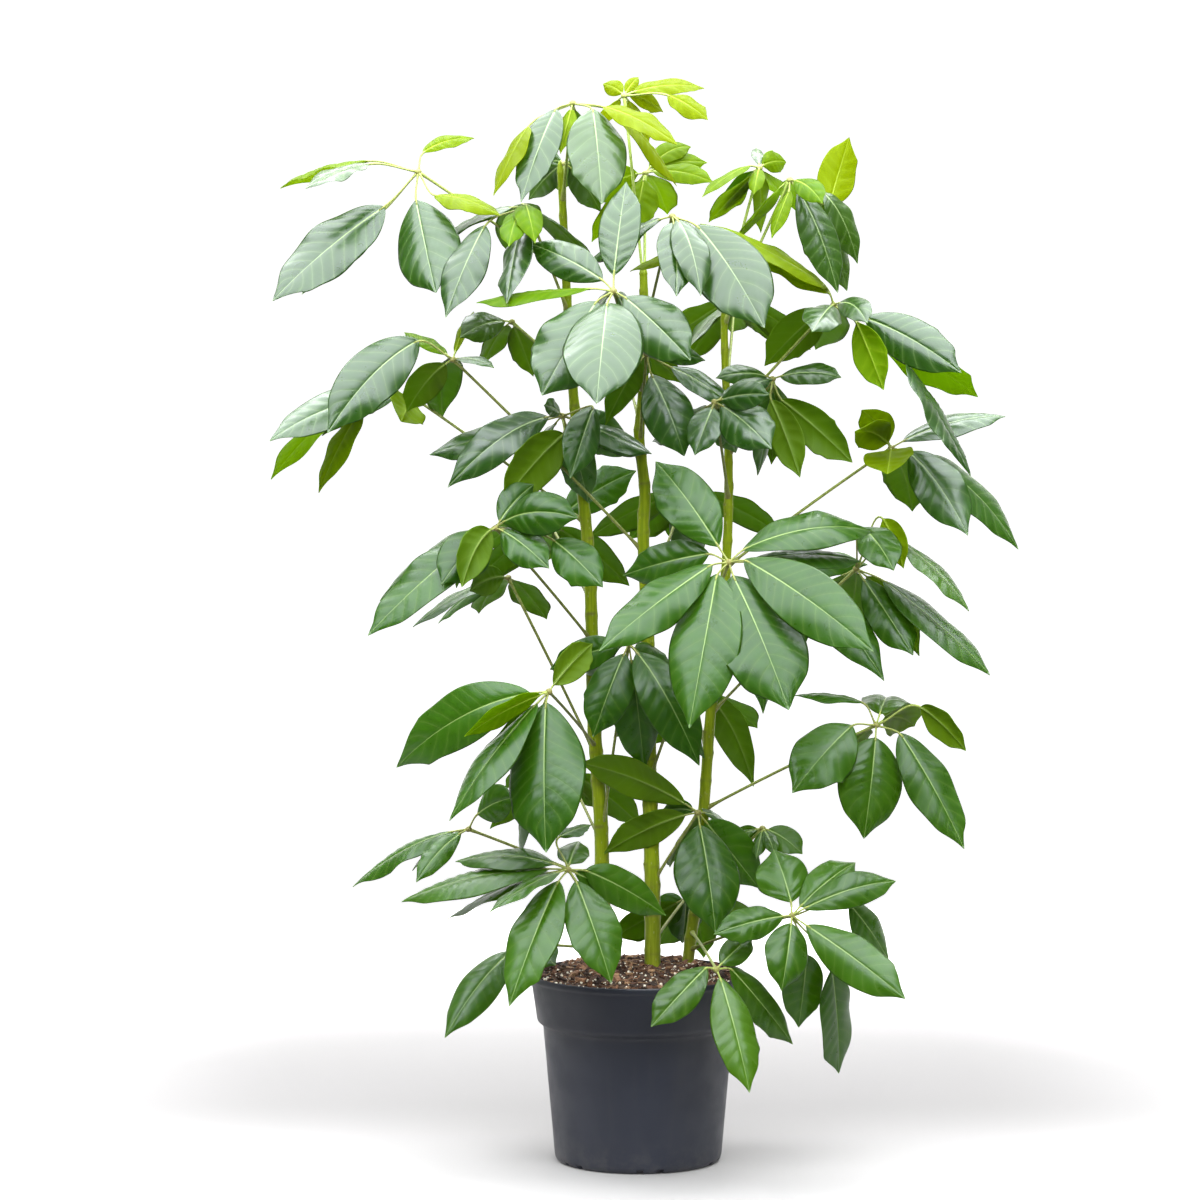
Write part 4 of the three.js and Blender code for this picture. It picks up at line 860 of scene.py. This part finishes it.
def stalk_line(foot, hub, bend, at):
    chord = hub - foot
    length = np.linalg.norm(chord)
    middle = foot + chord / 2 + UP * STALK_ARCH * length + unit(np.cross(chord, UP)) * bend
    return bowed(foot, middle, hub, at)


def stalk_corners(foot, hub, bend):
    first = STALK_FOOT[1] / np.linalg.norm(hub - foot)
    place, way = stalk_line(foot, hub, bend, first + (1 - first) * np.arange(1, STALK_SPANS) / STALK_SPANS)
    across = unit(np.cross((0, 1, 0), way))
    over = unit(np.cross(way, across))
    return np.stack([place + STALK_RADIUS * side for side in (across, over, -across, -over)])


def crossing(way, upwards, turn):
    """The directions across and over a leaflet's spine, with the blade turned a little more about it."""
    side = unit(np.cross(way, upwards))
    over = unit(np.cross(side, way))
    turn = np.reshape(turn, (-1, 1))
    return side * np.cos(turn) + over * np.sin(turn), over * np.cos(turn) - side * np.sin(turn)


def spine_of(leaf, bend):
    """A leaflet's root, middle and tip, the way that its stalk rises, and the way that its face looks."""
    short, shift, more_arch, _ = bend
    hub, face, arch = leaf["hub"], leaf["face"], leaf["arch"] + more_arch
    tip = hub + (leaf["tip"] - hub) * short
    tip = tip + unit(EYE - tip) * shift
    chord = tip - hub
    length = np.linalg.norm(chord)
    root = leaf["root"]
    if root is None:
        rise = unit(chord / length + face * LEAFLET_STALK_RISE * arch)
        root = hub + rise * min(LEAFLET_STALK[0], LEAFLET_STALK[1] * length)
    else:
        rise = unit(root - hub)
    blade = tip - root
    middle = root + blade * ARCH_STATION + face * arch * np.linalg.norm(blade)
    outwards = (chord - face * chord.dot(face)) / length
    upwards = face + outwards
    if leaf["shown"] is not None:
        place, way = (part[0] for part in bowed(root, middle, tip, FACE_STATION))
        sight = EYE - place
        sight = unit(sight - way * sight.dot(way))
        edge = np.cross(way, sight)
        edge_share = math.sqrt(1 - leaf["shown"] ** 2) * (-1 if edge.dot(upwards) < 0 else 1)
        upwards = sight * leaf["shown"] + edge * edge_share
    return root, middle, tip, rise, upwards


def leaflet_corners(leaf, bend):
    root, middle, tip, _, upwards = spine_of(leaf, bend)
    at = np.array(leaf["stations"])
    place, way = bowed(root, middle, tip, at)
    half = leaf["width"] * bend[0] / 2 * np.sin(math.pi * at ** OUTLINE_LEAN) ** OUTLINE_FULLNESS
    sideways, above = crossing(way, upwards, bend[3] * at)
    half = half[:, None]
    corners = [place - half * (sideways + above * BLADE_DROOP), place + above * RIB_ABOVE,
               place + half * (sideways - above * BLADE_DROOP), place - above * RIB_BELOW]
    return np.concatenate([*corners, [tip]])


def drawn(number, kind, least, spread):
    """A value for each leaflet, even but irregular, and the same each time."""
    return least + spread * ((number * DRAW_STEP + kind * DRAW_KIND_STEP) % 1)


def leaflets_of(frond, hub, face, count):
    """The leaflets of a frond: those that are sighted, then those that go around."""
    leaves = []
    right_hub, up_hub, behind = frond["hub"]
    for right, up, reach, width, *rest in frond["blades"]:
        depth = math.sqrt(max(0, reach ** 2 - np.linalg.norm(sighted(right, up, behind) - hub) ** 2))
        depth = math.copysign(depth, reach)
        true_width = max(abs(width) * EDGE_SHARE, LEAST_WIDTH * (1 - LEAFLET_STALK[1]) * abs(reach))
        root = None
        if len(rest) > 1:
            to_root = math.hypot(rest[1] - right_hub, rest[2] - up_hub)
            to_tip = math.hypot(right - rest[1], up - rest[2])
            root = sighted(rest[1], rest[2], behind + depth * to_root / (to_root + to_tip))
        leaves.append(dict(
            hub=hub, face=face, root=root, tip=sighted(right, up, behind + depth), width=true_width,
            shown=width / true_width, arch=rest[0] if rest else LEAFLET_ARCH, **SEEN_BLADE))
    for number, bearing in enumerate(frond["around"], count + 1):
        turn, fall = math.radians(bearing), drawn(number, 1, *AROUND_FALL)
        reach = frond["size"] * drawn(number, 2, *AROUND_REACH)
        way = np.array([math.cos(turn) * math.cos(fall), math.sin(turn) * math.cos(fall), -math.sin(fall)])
        leaves.append(dict(
            hub=hub, face=face, root=None, tip=hub + way * reach, shown=None, arch=LEAFLET_ARCH,
            width=reach * drawn(number, 3, *AROUND_WIDTH), **BACK_BLADE))
    return leaves


def eased(value, low, high):
    share = np.clip((value - low) / (high - low), 0, 1)
    return share * share * (3 - 2 * share)


# A blade's outline: what it is drawn between, how much it narrows near the tip, and the shares of edges
# with no tooth, one and two.
BLADE_LEAN = (0.94, 1.1)
BLADE_FULLNESS = (0.6, 0.7)
TIP_NARROWING = (0.55, 0.8)
TEETH_SHARES = (0.62, 0.28, 0.1)
TOOTH_PLACE = (0.6, 0.9)
TOOTH_REACH = (0.07, 0.14)
TOOTH_FALL = 0.03
TOOTH_SIZE = (0.04, 0.1)


def blade_outline(at, draw):
    """Half widths along a blade, as shares of the widest: nearest the root, full past the middle, then
    drawn out to the tip. Some blades have a coarse tooth or two on either edge."""
    lean, fullness = draw.uniform(*BLADE_LEAN), draw.uniform(*BLADE_FULLNESS)
    plain = np.sin(math.pi * np.clip(at, 0, 1) ** lean) ** fullness
    plain = plain * (1 - TIP_NARROWING[0] * eased(at, TIP_NARROWING[1], 1.0))
    edges = []
    for _ in range(2):
        edge = plain.copy()
        for _ in range(draw.choice(len(TEETH_SHARES), p=TEETH_SHARES)):
            point = draw.uniform(*TOOTH_PLACE)
            reach = draw.uniform(*TOOTH_REACH)
            rise = eased(at, point - reach, point) * (at <= point)
            fall = np.clip(1 - (at - point) / TOOTH_FALL, 0, 1) * (at > point)
            edge += draw.uniform(*TOOTH_SIZE) * (rise + fall)
        edges.append(edge)
    return edges


# A blade's relief. Droop, cup, quilt and waves are shares of its half width, and the tip's drop one of its
# length, each drawn between two ends. The groove and the ridge of the midrib have a half width and a depth
# in millimetres, and the ridge also how much of that is gone at the tip.
BLADE_THICKNESS = 0.55
BLADE_TWIST = 0.12
TWIST_STATION = 0.4
LEAST_HALF = 1.3
VEIN_SPACING = 17
LEAST_VEINS = 5
VEIN_SLANT = 0.7
VEIN_CURVE = 1.15
VEIN_WANDER = 0.25
WANDER_TURNS = 9
DROOP = (0.06, 0.3)
DROOP_CURVE = 1.6
CUP = (0.02, 0.07)
CUP_CURVE = 0.8
EDGE_WAVES = (1.2, 2.6)
QUILT_HEIGHT = (0.02, 0.05)
QUILT_STARTS = (0.03, 0.3)
QUILT_ENDS = (0.7, 1.0)
WAVE_HEIGHT = (0.04, 0.13)
TIP_DROP = (0, 0.03)
GROOVE = (1.5, 0.5)
GROOVE_FADE = 0.6
RIB_RIDGE = (1.2, 1.5, 1.2)
NEWEST = 0.5


def grow_blade(body, leaf, bend, young, draw, cells):
    """The blade as a thin closed solid: an upper skin, an under skin, and a ridge below the midrib."""
    root, middle, tip, _, upwards = spine_of(leaf, bend)
    length = np.linalg.norm(tip - root)
    rows, columns = leaf["rows"], np.array(leaf["columns"])
    at = np.linspace(0, 1, rows + 1)
    place, way = bowed(root, middle, tip, at)
    twist = draw.uniform(-BLADE_TWIST, BLADE_TWIST)
    sideways, above = crossing(way, upwards, bend[3] * at + twist * (at - TWIST_STATION))
    full = leaf["width"] * bend[0] / 2
    halves = [np.maximum(full * edge, LEAST_HALF - at)[:, None] for edge in blade_outline(at, draw)]
    inner = [np.minimum(limit / half, share) for half in halves for limit, share in RIB_COLUMNS]
    wide = np.broadcast_to(columns, (rows + 1, len(columns)))
    left, right = [-wide[:, ::-1], -inner[1], -inner[0]], [inner[2], inner[3], wide]
    across = np.concatenate([*left, 0 * inner[0], *right], 1)
    half = np.where(across < 0, halves[0], halves[1])
    offset = across * half
    share, far, side = np.abs(across), at[:, None], (across > 0).astype(int)

    veins = max(LEAST_VEINS, round(length / VEIN_SPACING))
    wander = VEIN_WANDER * np.sin(far * WANDER_TURNS + draw.uniform(0, 6)) + VEIN_WANDER * side
    phase = veins * (far - VEIN_SLANT * full / length * share ** VEIN_CURVE) + wander + draw.uniform(0, 1)
    quilt = 0.5 - 0.5 * np.cos(2 * math.pi * phase)
    between = eased(share, *QUILT_STARTS) * (1 - eased(share, *QUILT_ENDS))
    droop, cup = draw.uniform(*DROOP), draw.uniform(*CUP)
    waves, turns = draw.uniform(*EDGE_WAVES, 2), draw.uniform(0, 2 * math.pi, 2)
    ripple = np.sin(2 * math.pi * far * waves[side] + turns[side]) * share ** 2 * np.sin(math.pi * far)
    lift = (
        -droop * half * share ** DROOP_CURVE
        + cup * half * np.sin(math.pi * share ** CUP_CURVE)
        + quilt * between * full * draw.uniform(*QUILT_HEIGHT) * np.sin(math.pi * np.clip(far, 0, 1)) ** 0.5
        + ripple * full * draw.uniform(*WAVE_HEIGHT)
        - draw.uniform(*TIP_DROP) * length * far ** 4
    )
    groove = np.exp(-(offset / GROOVE[0]) ** 2) * (1 - GROOVE_FADE * far) * GROOVE[1]
    rib = np.exp(-(offset / RIB_RIDGE[0]) ** 2) * (RIB_RIDGE[1] - RIB_RIDGE[2] * far)
    above = above[:, None, :]
    flat = place[:, None, :] + offset[:, :, None] * sideways[:, None, :]
    top = flat + (lift - groove)[:, :, None] * above
    under = top - (BLADE_THICKNESS + rib)[:, :, None] * above

    # The upper skin has all the points; the under skin shares those at the two edges.
    marks = np.stack([offset, phase, np.broadcast_to(far, offset.shape)], -1)
    tone = np.full(offset.shape, draw.random())
    tints = np.stack([np.full(offset.shape, young), tone, 0 * share, share], -1)
    start = body.add(top, marks.reshape(-1, 3), tints.reshape(-1, 4))
    upper = start + np.arange(offset.size).reshape(offset.shape)
    start = body.add(under[:, 1:-1], marks[:, 1:-1].reshape(-1, 3), tints[:, 1:-1].reshape(-1, 4))
    lower = start + np.arange(offset[:, 1:-1].size).reshape(rows + 1, -1)
    lower = np.concatenate([upper[:, :1], lower, upper[:, -1:]], 1)
    faces = (3, 4) if young > NEWEST else (0, 1)
    body.skin(upper, faces[0], cells[0])
    body.skin(lower, faces[1], cells[1], under=True)
    body.polygon(np.concatenate([upper[0], lower[0][-2:0:-1]]), faces[1], cells[1][:2])
    body.polygon(np.concatenate([upper[-1], lower[-1][-2:0:-1]])[::-1], faces[1], cells[1][:2])


def grow_leaflet_stalk(body, leaf, bend, young, draw, cell):
    """The leaflet's own stalk, thicker at both ends, which runs on under the blade as its midrib."""
    root, middle, tip, rise, upwards = spine_of(leaf, bend)
    start = leaf["hub"] + rise * KNUCKLE_CORE
    into, way = (part[0] for part in bowed(root, middle, tip, LEAFLET_STALK_INTO))
    reach = np.linalg.norm(into - start) * LEAFLET_STALK_EASE
    at = np.linspace(0, 1, LEAFLET_STALK_RINGS)
    s = at[:, None]
    line = ((1 - s) ** 3 * start + 3 * (1 - s) ** 2 * s * (start + rise * reach)
            + 3 * (1 - s) * s ** 2 * (into - way * reach) + s ** 3 * into)
    _, above = crossing(way[None, :], upwards, 0)
    line = line - above * LEAFLET_STALK_SINK * s ** 2
    swell, bulge = LEAFLET_STALK_FLARE, LEAFLET_STALK_BULGE
    radii = LEAFLET_STALK_RADIUS + swell[0] * np.exp(-(at / swell[1]) ** 2)
    radii = radii + bulge[0] * np.exp(-((at - bulge[1]) / bulge[2]) ** 2)
    tint = (min(young + LEAFLET_STALK_FRESHER, 1), draw.random(), 0, 0)
    marks = np.stack([at, 0.5 + 0 * at, 0 * at], -1)
    tube(body, line, radii, LEAFLET_STALK_SIDES, marks, tint, 2, cell)


def grow_stalk(body, foot, hub, bend, young, draw, cell):
    """The frond's stalk: it clasps the stem with a widened foot and swells a little under the knuckle."""
    at = np.linspace(0, 1, STALK_RINGS) ** STALK_CROWDING
    line, _ = stalk_line(foot, hub, bend, at)
    gone = at * np.linalg.norm(hub - foot)
    widened = (STALK_FOOT[0] - STALK_RADIUS) * np.exp(-(gone / STALK_FOOT_REACH) ** 2)
    swollen = STALK_SWELL[0] * np.exp(-((gone[-1] - gone) / STALK_SWELL[1]) ** 2)
    radii = STALK_RADIUS - STALK_SLIM + widened + swollen
    marks = np.stack([at, np.exp(-(gone / STALK_STAIN) ** 2), 0 * at], -1)
    tube(body, line, radii, STALK_SIDES, marks, (young, draw.random(), 0, 0), 2, cell)


def grow_knuckle(body, hub, axis, young, draw, cell):
    """The knuckle: a small rounded boss, flattened across the whorl."""
    lift = np.linspace(-KNUCKLE_CUT, KNUCKLE_CUT, KNUCKLE_RINGS)
    line = hub + lift[:, None] * KNUCKLE[1] * axis
    radii = KNUCKLE[0] * np.sqrt(1 - lift ** 2)
    tube(body, line, radii, KNUCKLE_SIDES, [(0, 1, 0)] * len(lift), (young, draw.random(), 0, 0), 2, cell)


# The flat map of a frond: two tall cells for each leaflet, and a low row for stalks and knuckle above them.
MAP_BLADES_TALL = 0.86
MAP_GAP = 0.004
MAP_LEAFLET_STALKS = (0.87, 0.92)
MAP_STALK_GAP = 0.03
MAP_SHAPE = 2.6
MAP_STALK = (0.01, 0.93, 0.75, 0.99)
MAP_KNUCKLE = (0.78, 0.93, 0.99, 0.99)


def flat_cells(total):
    rows = max(1, round(math.sqrt(2 * total / MAP_SHAPE)))
    columns = math.ceil(2 * total / rows)
    wide, tall = 1 / columns, MAP_BLADES_TALL / rows
    blades = []
    for i in range(2 * total):
        row, column = divmod(i, columns)
        blades.append((column * wide + MAP_GAP, row * tall + MAP_GAP,
                       (column + 1) * wide - MAP_GAP, (row + 1) * tall - MAP_GAP))
    low, high = MAP_LEAFLET_STALKS
    return blades, [
        ((i + MAP_STALK_GAP) / total, low, (i + 1 - MAP_STALK_GAP) / total, high) for i in range(total)]


# The finishes of a leaflet's faces. older and newer: the darkest colour, the palest, and that of the light
# that shines through, at both ends of the ages that share the finish. vein and midrib: their colours.
# through: the share of the light that shines through. rib_width: half the midrib's width at its root.
# The first and the last face finishes are a lit and a shaded copy of one finish: painted light and shade.
LEAF_FINISHES = [
    dict(name="top_lit_leaf_face", ages=(0, 0.5), roughness=0.30, shine=0.75, gleam=(0.94, 0.97, 1.0),
         older=((0.006, 0.028, 0.0012), (0.022, 0.082, 0.0025), (0.24, 0.52, 0.03)),
         newer=((0.018, 0.050, 0.0012), (0.055, 0.122, 0.003), (0.34, 0.56, 0.03)),
         vein=(0.11, 0.18, 0.05), midrib=(0.27, 0.37, 0.14), through=0.22, vein_share=0.42, rib_width=1.1),
    dict(name="leaf_underside", ages=(0, 0.5), roughness=0.5, shine=0.2, gleam=(0.85, 1.0, 0.7),
         older=((0.055, 0.110, 0.002), (0.085, 0.160, 0.003), (0.34, 0.56, 0.03)),
         newer=((0.070, 0.125, 0.002), (0.105, 0.180, 0.003), (0.40, 0.60, 0.03)),
         vein=(0.12, 0.20, 0.02), midrib=(0.20, 0.28, 0.06), through=0.34, vein_share=0.35, rib_width=1.8),
    dict(name="young_leaf_face", ages=(0.5, 1), roughness=0.40, shine=0.07, gleam=(0.9, 1.0, 0.4),
         older=((0.050, 0.115, 0.001), (0.085, 0.165, 0.002), (0.42, 0.66, 0.02)),
         newer=((0.11, 0.155, 0.0006), (0.17, 0.205, 0.0008), (0.62, 0.74, 0.01)),
         vein=(0.20, 0.28, 0.01), midrib=(0.30, 0.38, 0.05), through=0.36, vein_share=0.2, rib_width=1.0),
    dict(name="young_leaf_underside", ages=(0.5, 1), roughness=0.5, shine=0.05, gleam=(0.9, 1.0, 0.4),
         older=((0.060, 0.125, 0.001), (0.095, 0.175, 0.002), (0.42, 0.66, 0.02)),
         newer=((0.13, 0.165, 0.0008), (0.19, 0.215, 0.001), (0.66, 0.76, 0.02)),
         vein=(0.20, 0.28, 0.01), midrib=(0.28, 0.36, 0.04), through=0.40, vein_share=0.3, rib_width=1.6),
    dict(name="shaded_leaf_face", ages=(0, 0.5), roughness=0.30, shine=0.38, gleam=(0.92, 0.98, 1.0),
         older=((0.009, 0.036, 0.0010), (0.026, 0.090, 0.0020), (0.24, 0.52, 0.03)),
         newer=((0.018, 0.056, 0.0010), (0.050, 0.120, 0.0025), (0.34, 0.56, 0.03)),
         vein=(0.09, 0.16, 0.025), midrib=(0.24, 0.34, 0.10), through=0.22, vein_share=0.30, rib_width=1.1),
]


def leaf_finish(name, ages, roughness, shine, gleam, older, newer, vein, midrib, through, vein_share,
                rib_width):
    """A leaflet's finish. The marks are the distance from the midrib in millimetres, the side veins' count
    and the share of the blade's length; the tint is age, tone, nothing, and the share of the half width."""
    finish, tree = new_finish(name)
    aside, veins, along = marks_of(tree)
    tint = put(tree, "Attribute", attribute_name="tint")
    age, tone, _ = put(tree, "SeparateColor", {0: tint.outputs["Color"]}).outputs
    youth = ramp(tree, age, *ages)
    mottle = grain(tree, 38, 4, 0.6)
    depth = maths(tree, "MULTIPLY_ADD", tone, 0.6, times(tree, ramp(tree, mottle, 0.3, 0.7), 0.4))
    # Higher leaflets are painted darker: from 0.6 m to 1.1 m up, their share of the palest colour falls to
    # 0.4 of itself. This is painted shade on the top-lit leaflets and painted light on the lower ones.
    depth = times(tree, depth, ramp(tree, three_of(tree, own_place(tree))["Z"], 0.6, 1.1, 1, 0.4))
    shade = mixed(tree, youth, mixed(tree, depth, *older[:2]), mixed(tree, depth, *newer[:2]))
    wobble = plus(tree, veins, times(tree, grain(tree, 90, 2), 0.12))
    off_vein = maths(tree, "PINGPONG", wobble, 0.5)
    line = ramp(tree, off_vein, 0.0, 0.06, 1, 0)
    shade = mixed(tree, times(tree, ramp(tree, off_vein, 0.0, 0.3, 1, 0), 0.14), shade, vein)
    shade = mixed(tree, times(tree, line, vein_share), shade, vein)
    shade = mixed(tree, ramp(tree, tint.outputs["Alpha"], 0.965, 1.0, 0, 0.5), shade, vein)
    reach = maths(tree, "MULTIPLY_ADD", along, -0.7 * rib_width, rib_width)
    off_rib = maths(tree, "DIVIDE", maths(tree, "ABSOLUTE", aside), reach)
    rib = times(tree, ramp(tree, off_rib, 0.6, 1.15, 1, 0), ramp(tree, along, 0.1, 0.9, 0.95, 0.5))
    shade = mixed(tree, rib, shade, midrib)
    relief = maths(tree, "MULTIPLY_ADD", line, -0.12, times(tree, grain(tree, 700, 3, 0.6), 0.12))
    relief = plus(tree, relief, times(tree, grain(tree, 32, 1), 1.2))
    gloss = ramp(tree, mottle, 0.25, 0.75, roughness - 0.04, roughness + 0.06)
    sheet = surface(tree, shade, gloss, relief, 0.6, Specular_IOR_Level=shine, Specular_Tint=gleam)
    shining = put(tree, "BsdfTranslucent", {"Color": mixed(tree, youth, older[2], newer[2])}).outputs[0]
    close(tree, put(tree, "MixShader", {0: through, 1: sheet, 2: shining}).outputs[0])
    return finish


top_lit_face, underside, young_face, young_underside, shaded_face = (
    leaf_finish(**row) for row in LEAF_FINISHES)

OLIVE_STALK = ((0.13, 0.15, 0.03), (0.21, 0.235, 0.06))
GRASS_STALK = ((0.24, 0.33, 0.06), (0.36, 0.46, 0.11))
STALK_BROWN = (0.20, 0.15, 0.05)

stalk_skin, tree = new_finish("leaf_stalk")
tint = put(tree, "Attribute", attribute_name="tint").outputs["Color"]
age = put(tree, "SeparateColor", {0: tint}).outputs[0]
lines = grain(tree, 300, 4, 0.6)
streak = ramp(tree, lines, 0.3, 0.7)
olive, grass = mixed(tree, streak, *OLIVE_STALK), mixed(tree, streak, *GRASS_STALK)
shade = mixed(tree, ramp(tree, age, 0.1, 0.75), olive, grass)
shade = mixed(tree, times(tree, marks_of(tree)[1], 0.45), shade, STALK_BROWN)
close(tree, surface(tree, shade, 0.45, lines, 0.3, Specular_IOR_Level=0.3))

count = 0
for number, row in enumerate(FRONDS):
    frond = dict(zip(FROND_COLUMNS, row))
    name, ages = frond["name"], frond["ages"]
    solid_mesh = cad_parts["frond_" + name].data
    solid = BVHTree.FromPolygons(
        [list(vertex.co / MM) for vertex in solid_mesh.vertices],
        [tuple(polygon.vertices) for polygon in solid_mesh.polygons])
    hub, face = sighted(*frond["hub"]), unit(np.array(frond["face"], float))
    line = stem_lines[frond["stem"]]
    foot = np.array([np.interp(frond["seat"], line[:, 2], line[:, k]) for k in range(3)])
    stalk_bend = closest(solid, STALK_BENDS, lambda bend: stalk_corners(foot, hub, bend))
    leaves = leaflets_of(frond, hub, face, count)
    blade_cells, stalk_cells = flat_cells(len(leaves))
    body = Body()
    for i, leaf in enumerate(leaves):
        draw = np.random.default_rng(LEAFLET_SEEDS[0] + LEAFLET_SEEDS[1] * number + i)
        bend = closest(solid, LEAFLET_BENDS, lambda bend: leaflet_corners(leaf, bend))
        young = ages.get(i, frond["young"])
        grow_blade(body, leaf, bend, young, draw, blade_cells[2 * i:2 * i + 2])
        grow_leaflet_stalk(body, leaf, bend, young, draw, stalk_cells[i])
    draw = np.random.default_rng(STALK_SEED + number)
    grow_stalk(body, foot, hub, stalk_bend, frond["young"], draw, MAP_STALK)
    grow_knuckle(body, hub, face, frond["young"], draw, MAP_KNUCKLE)
    # Fronds with the knuckle high up wear the lit copy of the leaf face, darker and with more sheen. Lower
    # fronds wear the shaded copy, paler and with less sheen: painted light and shade.
    old_face = top_lit_face if hub[2] > TOP_LIT_ABOVE else shaded_face
    skins = [old_face, underside, stalk_skin, young_face, young_underside]
    piece = body.make("leaf_" + name, skins, map_name="OFBake")
    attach(piece, "root")
    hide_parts("frond_" + name)
    count += len(leaves)

# THE STUDIO
# A round white paper set that shows from every side, under a large soft light, with the camera where the
# photograph was taken from. Black card lies in front of the plant, out of sight, and keeps glare off it.
# The paper's section is in millimetres, from the wall's top down to the floor's middle, and all else here
# is in metres.
PAPER_SECTION = [(9800, 9500), (9750, 2200), (9600, 1100), (9250, 450), (8700, 90), (8000, 0), (5500, 0),
                 (2500, 0), (0, 0)]
PAPER_SIDES = 96
PAPER_GLOW = (0.9, 2.2)
CARD_WIDTH = 14.0
CARD_DROP = -0.03
CARD_SMOOTHING = 3
CARD_SECTION = [(-7.0, 0.0), (2.4, 0.0), (2.9, 0.06), (3.4, 0.28), (3.8, 0.7), (4.0, 1.3), (4.05, 2.2),
                (4.05, 5.5)]
CARD_BLACK = (0.052, 0.05, 0.049)
FLOOR_FRONT_PAINTED_LIGHT = (0.292, 0.282, 0.279)
FLOOR_PAINTED_SHADOW = (0.165, 0.158, 0.156)
FLOOR_BESIDE_PAINTED_LIGHT = (0.265, 0.255, 0.252)
FLOOR_BACK_PAINTED_LIGHT = (0.82, 0.8, 0.79)
PAPER_ROUGHNESS = 0.9
SHADE_FROM_FRONT = (-0.56, -0.27)
INTO_PAINTED_SHADOW = (-0.1, 0.4)
SHADE_ASIDE = (0.45, 1.0)
SHADE_BESIDE = (-0.5, -0.1)
SHADE_TO_BACK = (0.5, 4.0)


def painted_floor_tones(tree, in_front):
    """The tone of the floor round the pot, from its front edge, by its middle and sides, to the back:
    painted light in front, beside the pot and at the back, and a painted shadow behind the pot.
    """
    across, far, _ = three_of(tree, own_place(tree))
    shade = mixed(tree, ramp(tree, far, *SHADE_FROM_FRONT), in_front, FLOOR_FRONT_PAINTED_LIGHT)
    shade = mixed(tree, ramp(tree, far, *INTO_PAINTED_SHADOW), shade, FLOOR_PAINTED_SHADOW)
    aside = ramp(tree, maths(tree, "ABSOLUTE", across), *SHADE_ASIDE)
    shade = mixed(tree, times(tree, aside, ramp(tree, far, *SHADE_BESIDE)), shade, FLOOR_BESIDE_PAINTED_LIGHT)
    return mixed(tree, ramp(tree, far, *SHADE_TO_BACK), shade, FLOOR_BACK_PAINTED_LIGHT)


# Beyond 0.9 m from the pot's axis the paper glows, reaching full white at 2.2 m: painted light.
paper, tree = new_finish("studio_paper")
distance = put(tree, "VectorMath", {0: own_place(tree)}, operation="LENGTH").outputs["Value"]
close(tree, surface(
    tree, painted_floor_tones(tree, FLOOR_FRONT_PAINTED_LIGHT), PAPER_ROUGHNESS,
    Emission_Color=(1, 1, 1), Emission_Strength=ramp(tree, distance, *PAPER_GLOW)))
paper.cycles.emission_sampling = "NONE"
body = Body()
turned(body, PAPER_SECTION, PAPER_SIDES)
paper_set = body.make("paper_set", [paper])
for rays in ("diffuse", "glossy", "transmission", "shadow"):
    setattr(paper_set, "visible_" + rays, False)

card, tree = new_finish("bounce_card")
close(tree, surface(tree, painted_floor_tones(tree, CARD_BLACK), PAPER_ROUGHNESS))
mesh = bpy.data.meshes.new("bounce_sweep")
mesh.from_pydata([(x, y, z) for y, z in CARD_SECTION for x in (-CARD_WIDTH / 2, CARD_WIDTH / 2)], [],
                 [(2 * i, 2 * i + 1, 2 * i + 3, 2 * i + 2) for i in range(len(CARD_SECTION) - 1)])
mesh.materials.append(card)
mesh.shade_smooth()
bounce = placed("bounce_sweep", mesh)
bounce.location.z = CARD_DROP
bounce.visible_camera = False
soften = bounce.modifiers.new("smooth", "SUBSURF")
soften.levels = soften.render_levels = CARD_SMOOTHING

# The lights: a broad one above, a weak one in front that leaves no highlights, and one for the far paper.
DAYLIGHT = (0.95, 0.98, 1.0)


def soft_light(name, place, target, size, power, colour=(1, 1, 1)):
    lamp = bpy.data.lights.new(name, "AREA")
    lamp.shape = "RECTANGLE"
    lamp.size, lamp.size_y = size
    lamp.energy, lamp.color = power, colour
    light = placed(name, lamp)
    light.location = place
    light.rotation_euler = (Vector(target) - Vector(place)).to_track_quat("-Z", "Y").to_euler()
    light.visible_camera = False
    return light


soft_light("top_softbox", (-0.2, -0.55, 2.85), (-0.15, -0.2, 0.6), (4.6, 4.8), 630, DAYLIGHT)
fill = soft_light("front_fill", (0.6, -4.8, 2.1), (0, 0, 0.7), (3.6, 3.0), 150, DAYLIGHT)
fill.visible_glossy = False
soft_light("backdrop_wash", (0, 1.9, 4.4), (0, 4.0, 1.0), (6.5, 1.6), 260)

# The air: a faint even light that is stronger from above.
AIR_COLOUR = (0.92, 0.97, 1.0)
AIR_HEIGHTS = (0.05, 0.6)
AIR_STRENGTHS = (0.05, 0.3)

world = bpy.data.worlds.new("studio_air")
bpy.context.scene.world = world
world.use_nodes = True
tree = world.node_tree
tree.nodes.clear()
height = three_of(tree, put(tree, "TexCoord").outputs["Generated"])["Z"]
strength = ramp(tree, height, *AIR_HEIGHTS, *AIR_STRENGTHS)
sky = put(tree, "Background", {"Color": AIR_COLOUR, "Strength": strength})
put(tree, "OutputWorld", {"Surface": sky.outputs[0]})
bpy.context.scene.view_settings.view_transform = "Standard"

# The camera: five metres in front, a metre up, and tipped a little down.
CAMERA_PLACE = (-0.048, -5.0, 1.0)
CAMERA_DIP = 3.376
CAMERA_LENS = 120.18
CAMERA_SENSOR = 36

camera_data = bpy.data.cameras.new("photo_camera")
camera_data.lens = CAMERA_LENS
camera_data.sensor_width = CAMERA_SENSOR
camera = placed("photo_camera", camera_data)
camera.location = CAMERA_PLACE
camera.rotation_euler = (math.radians(90 - CAMERA_DIP), 0, 0)
bpy.context.scene.camera = camera
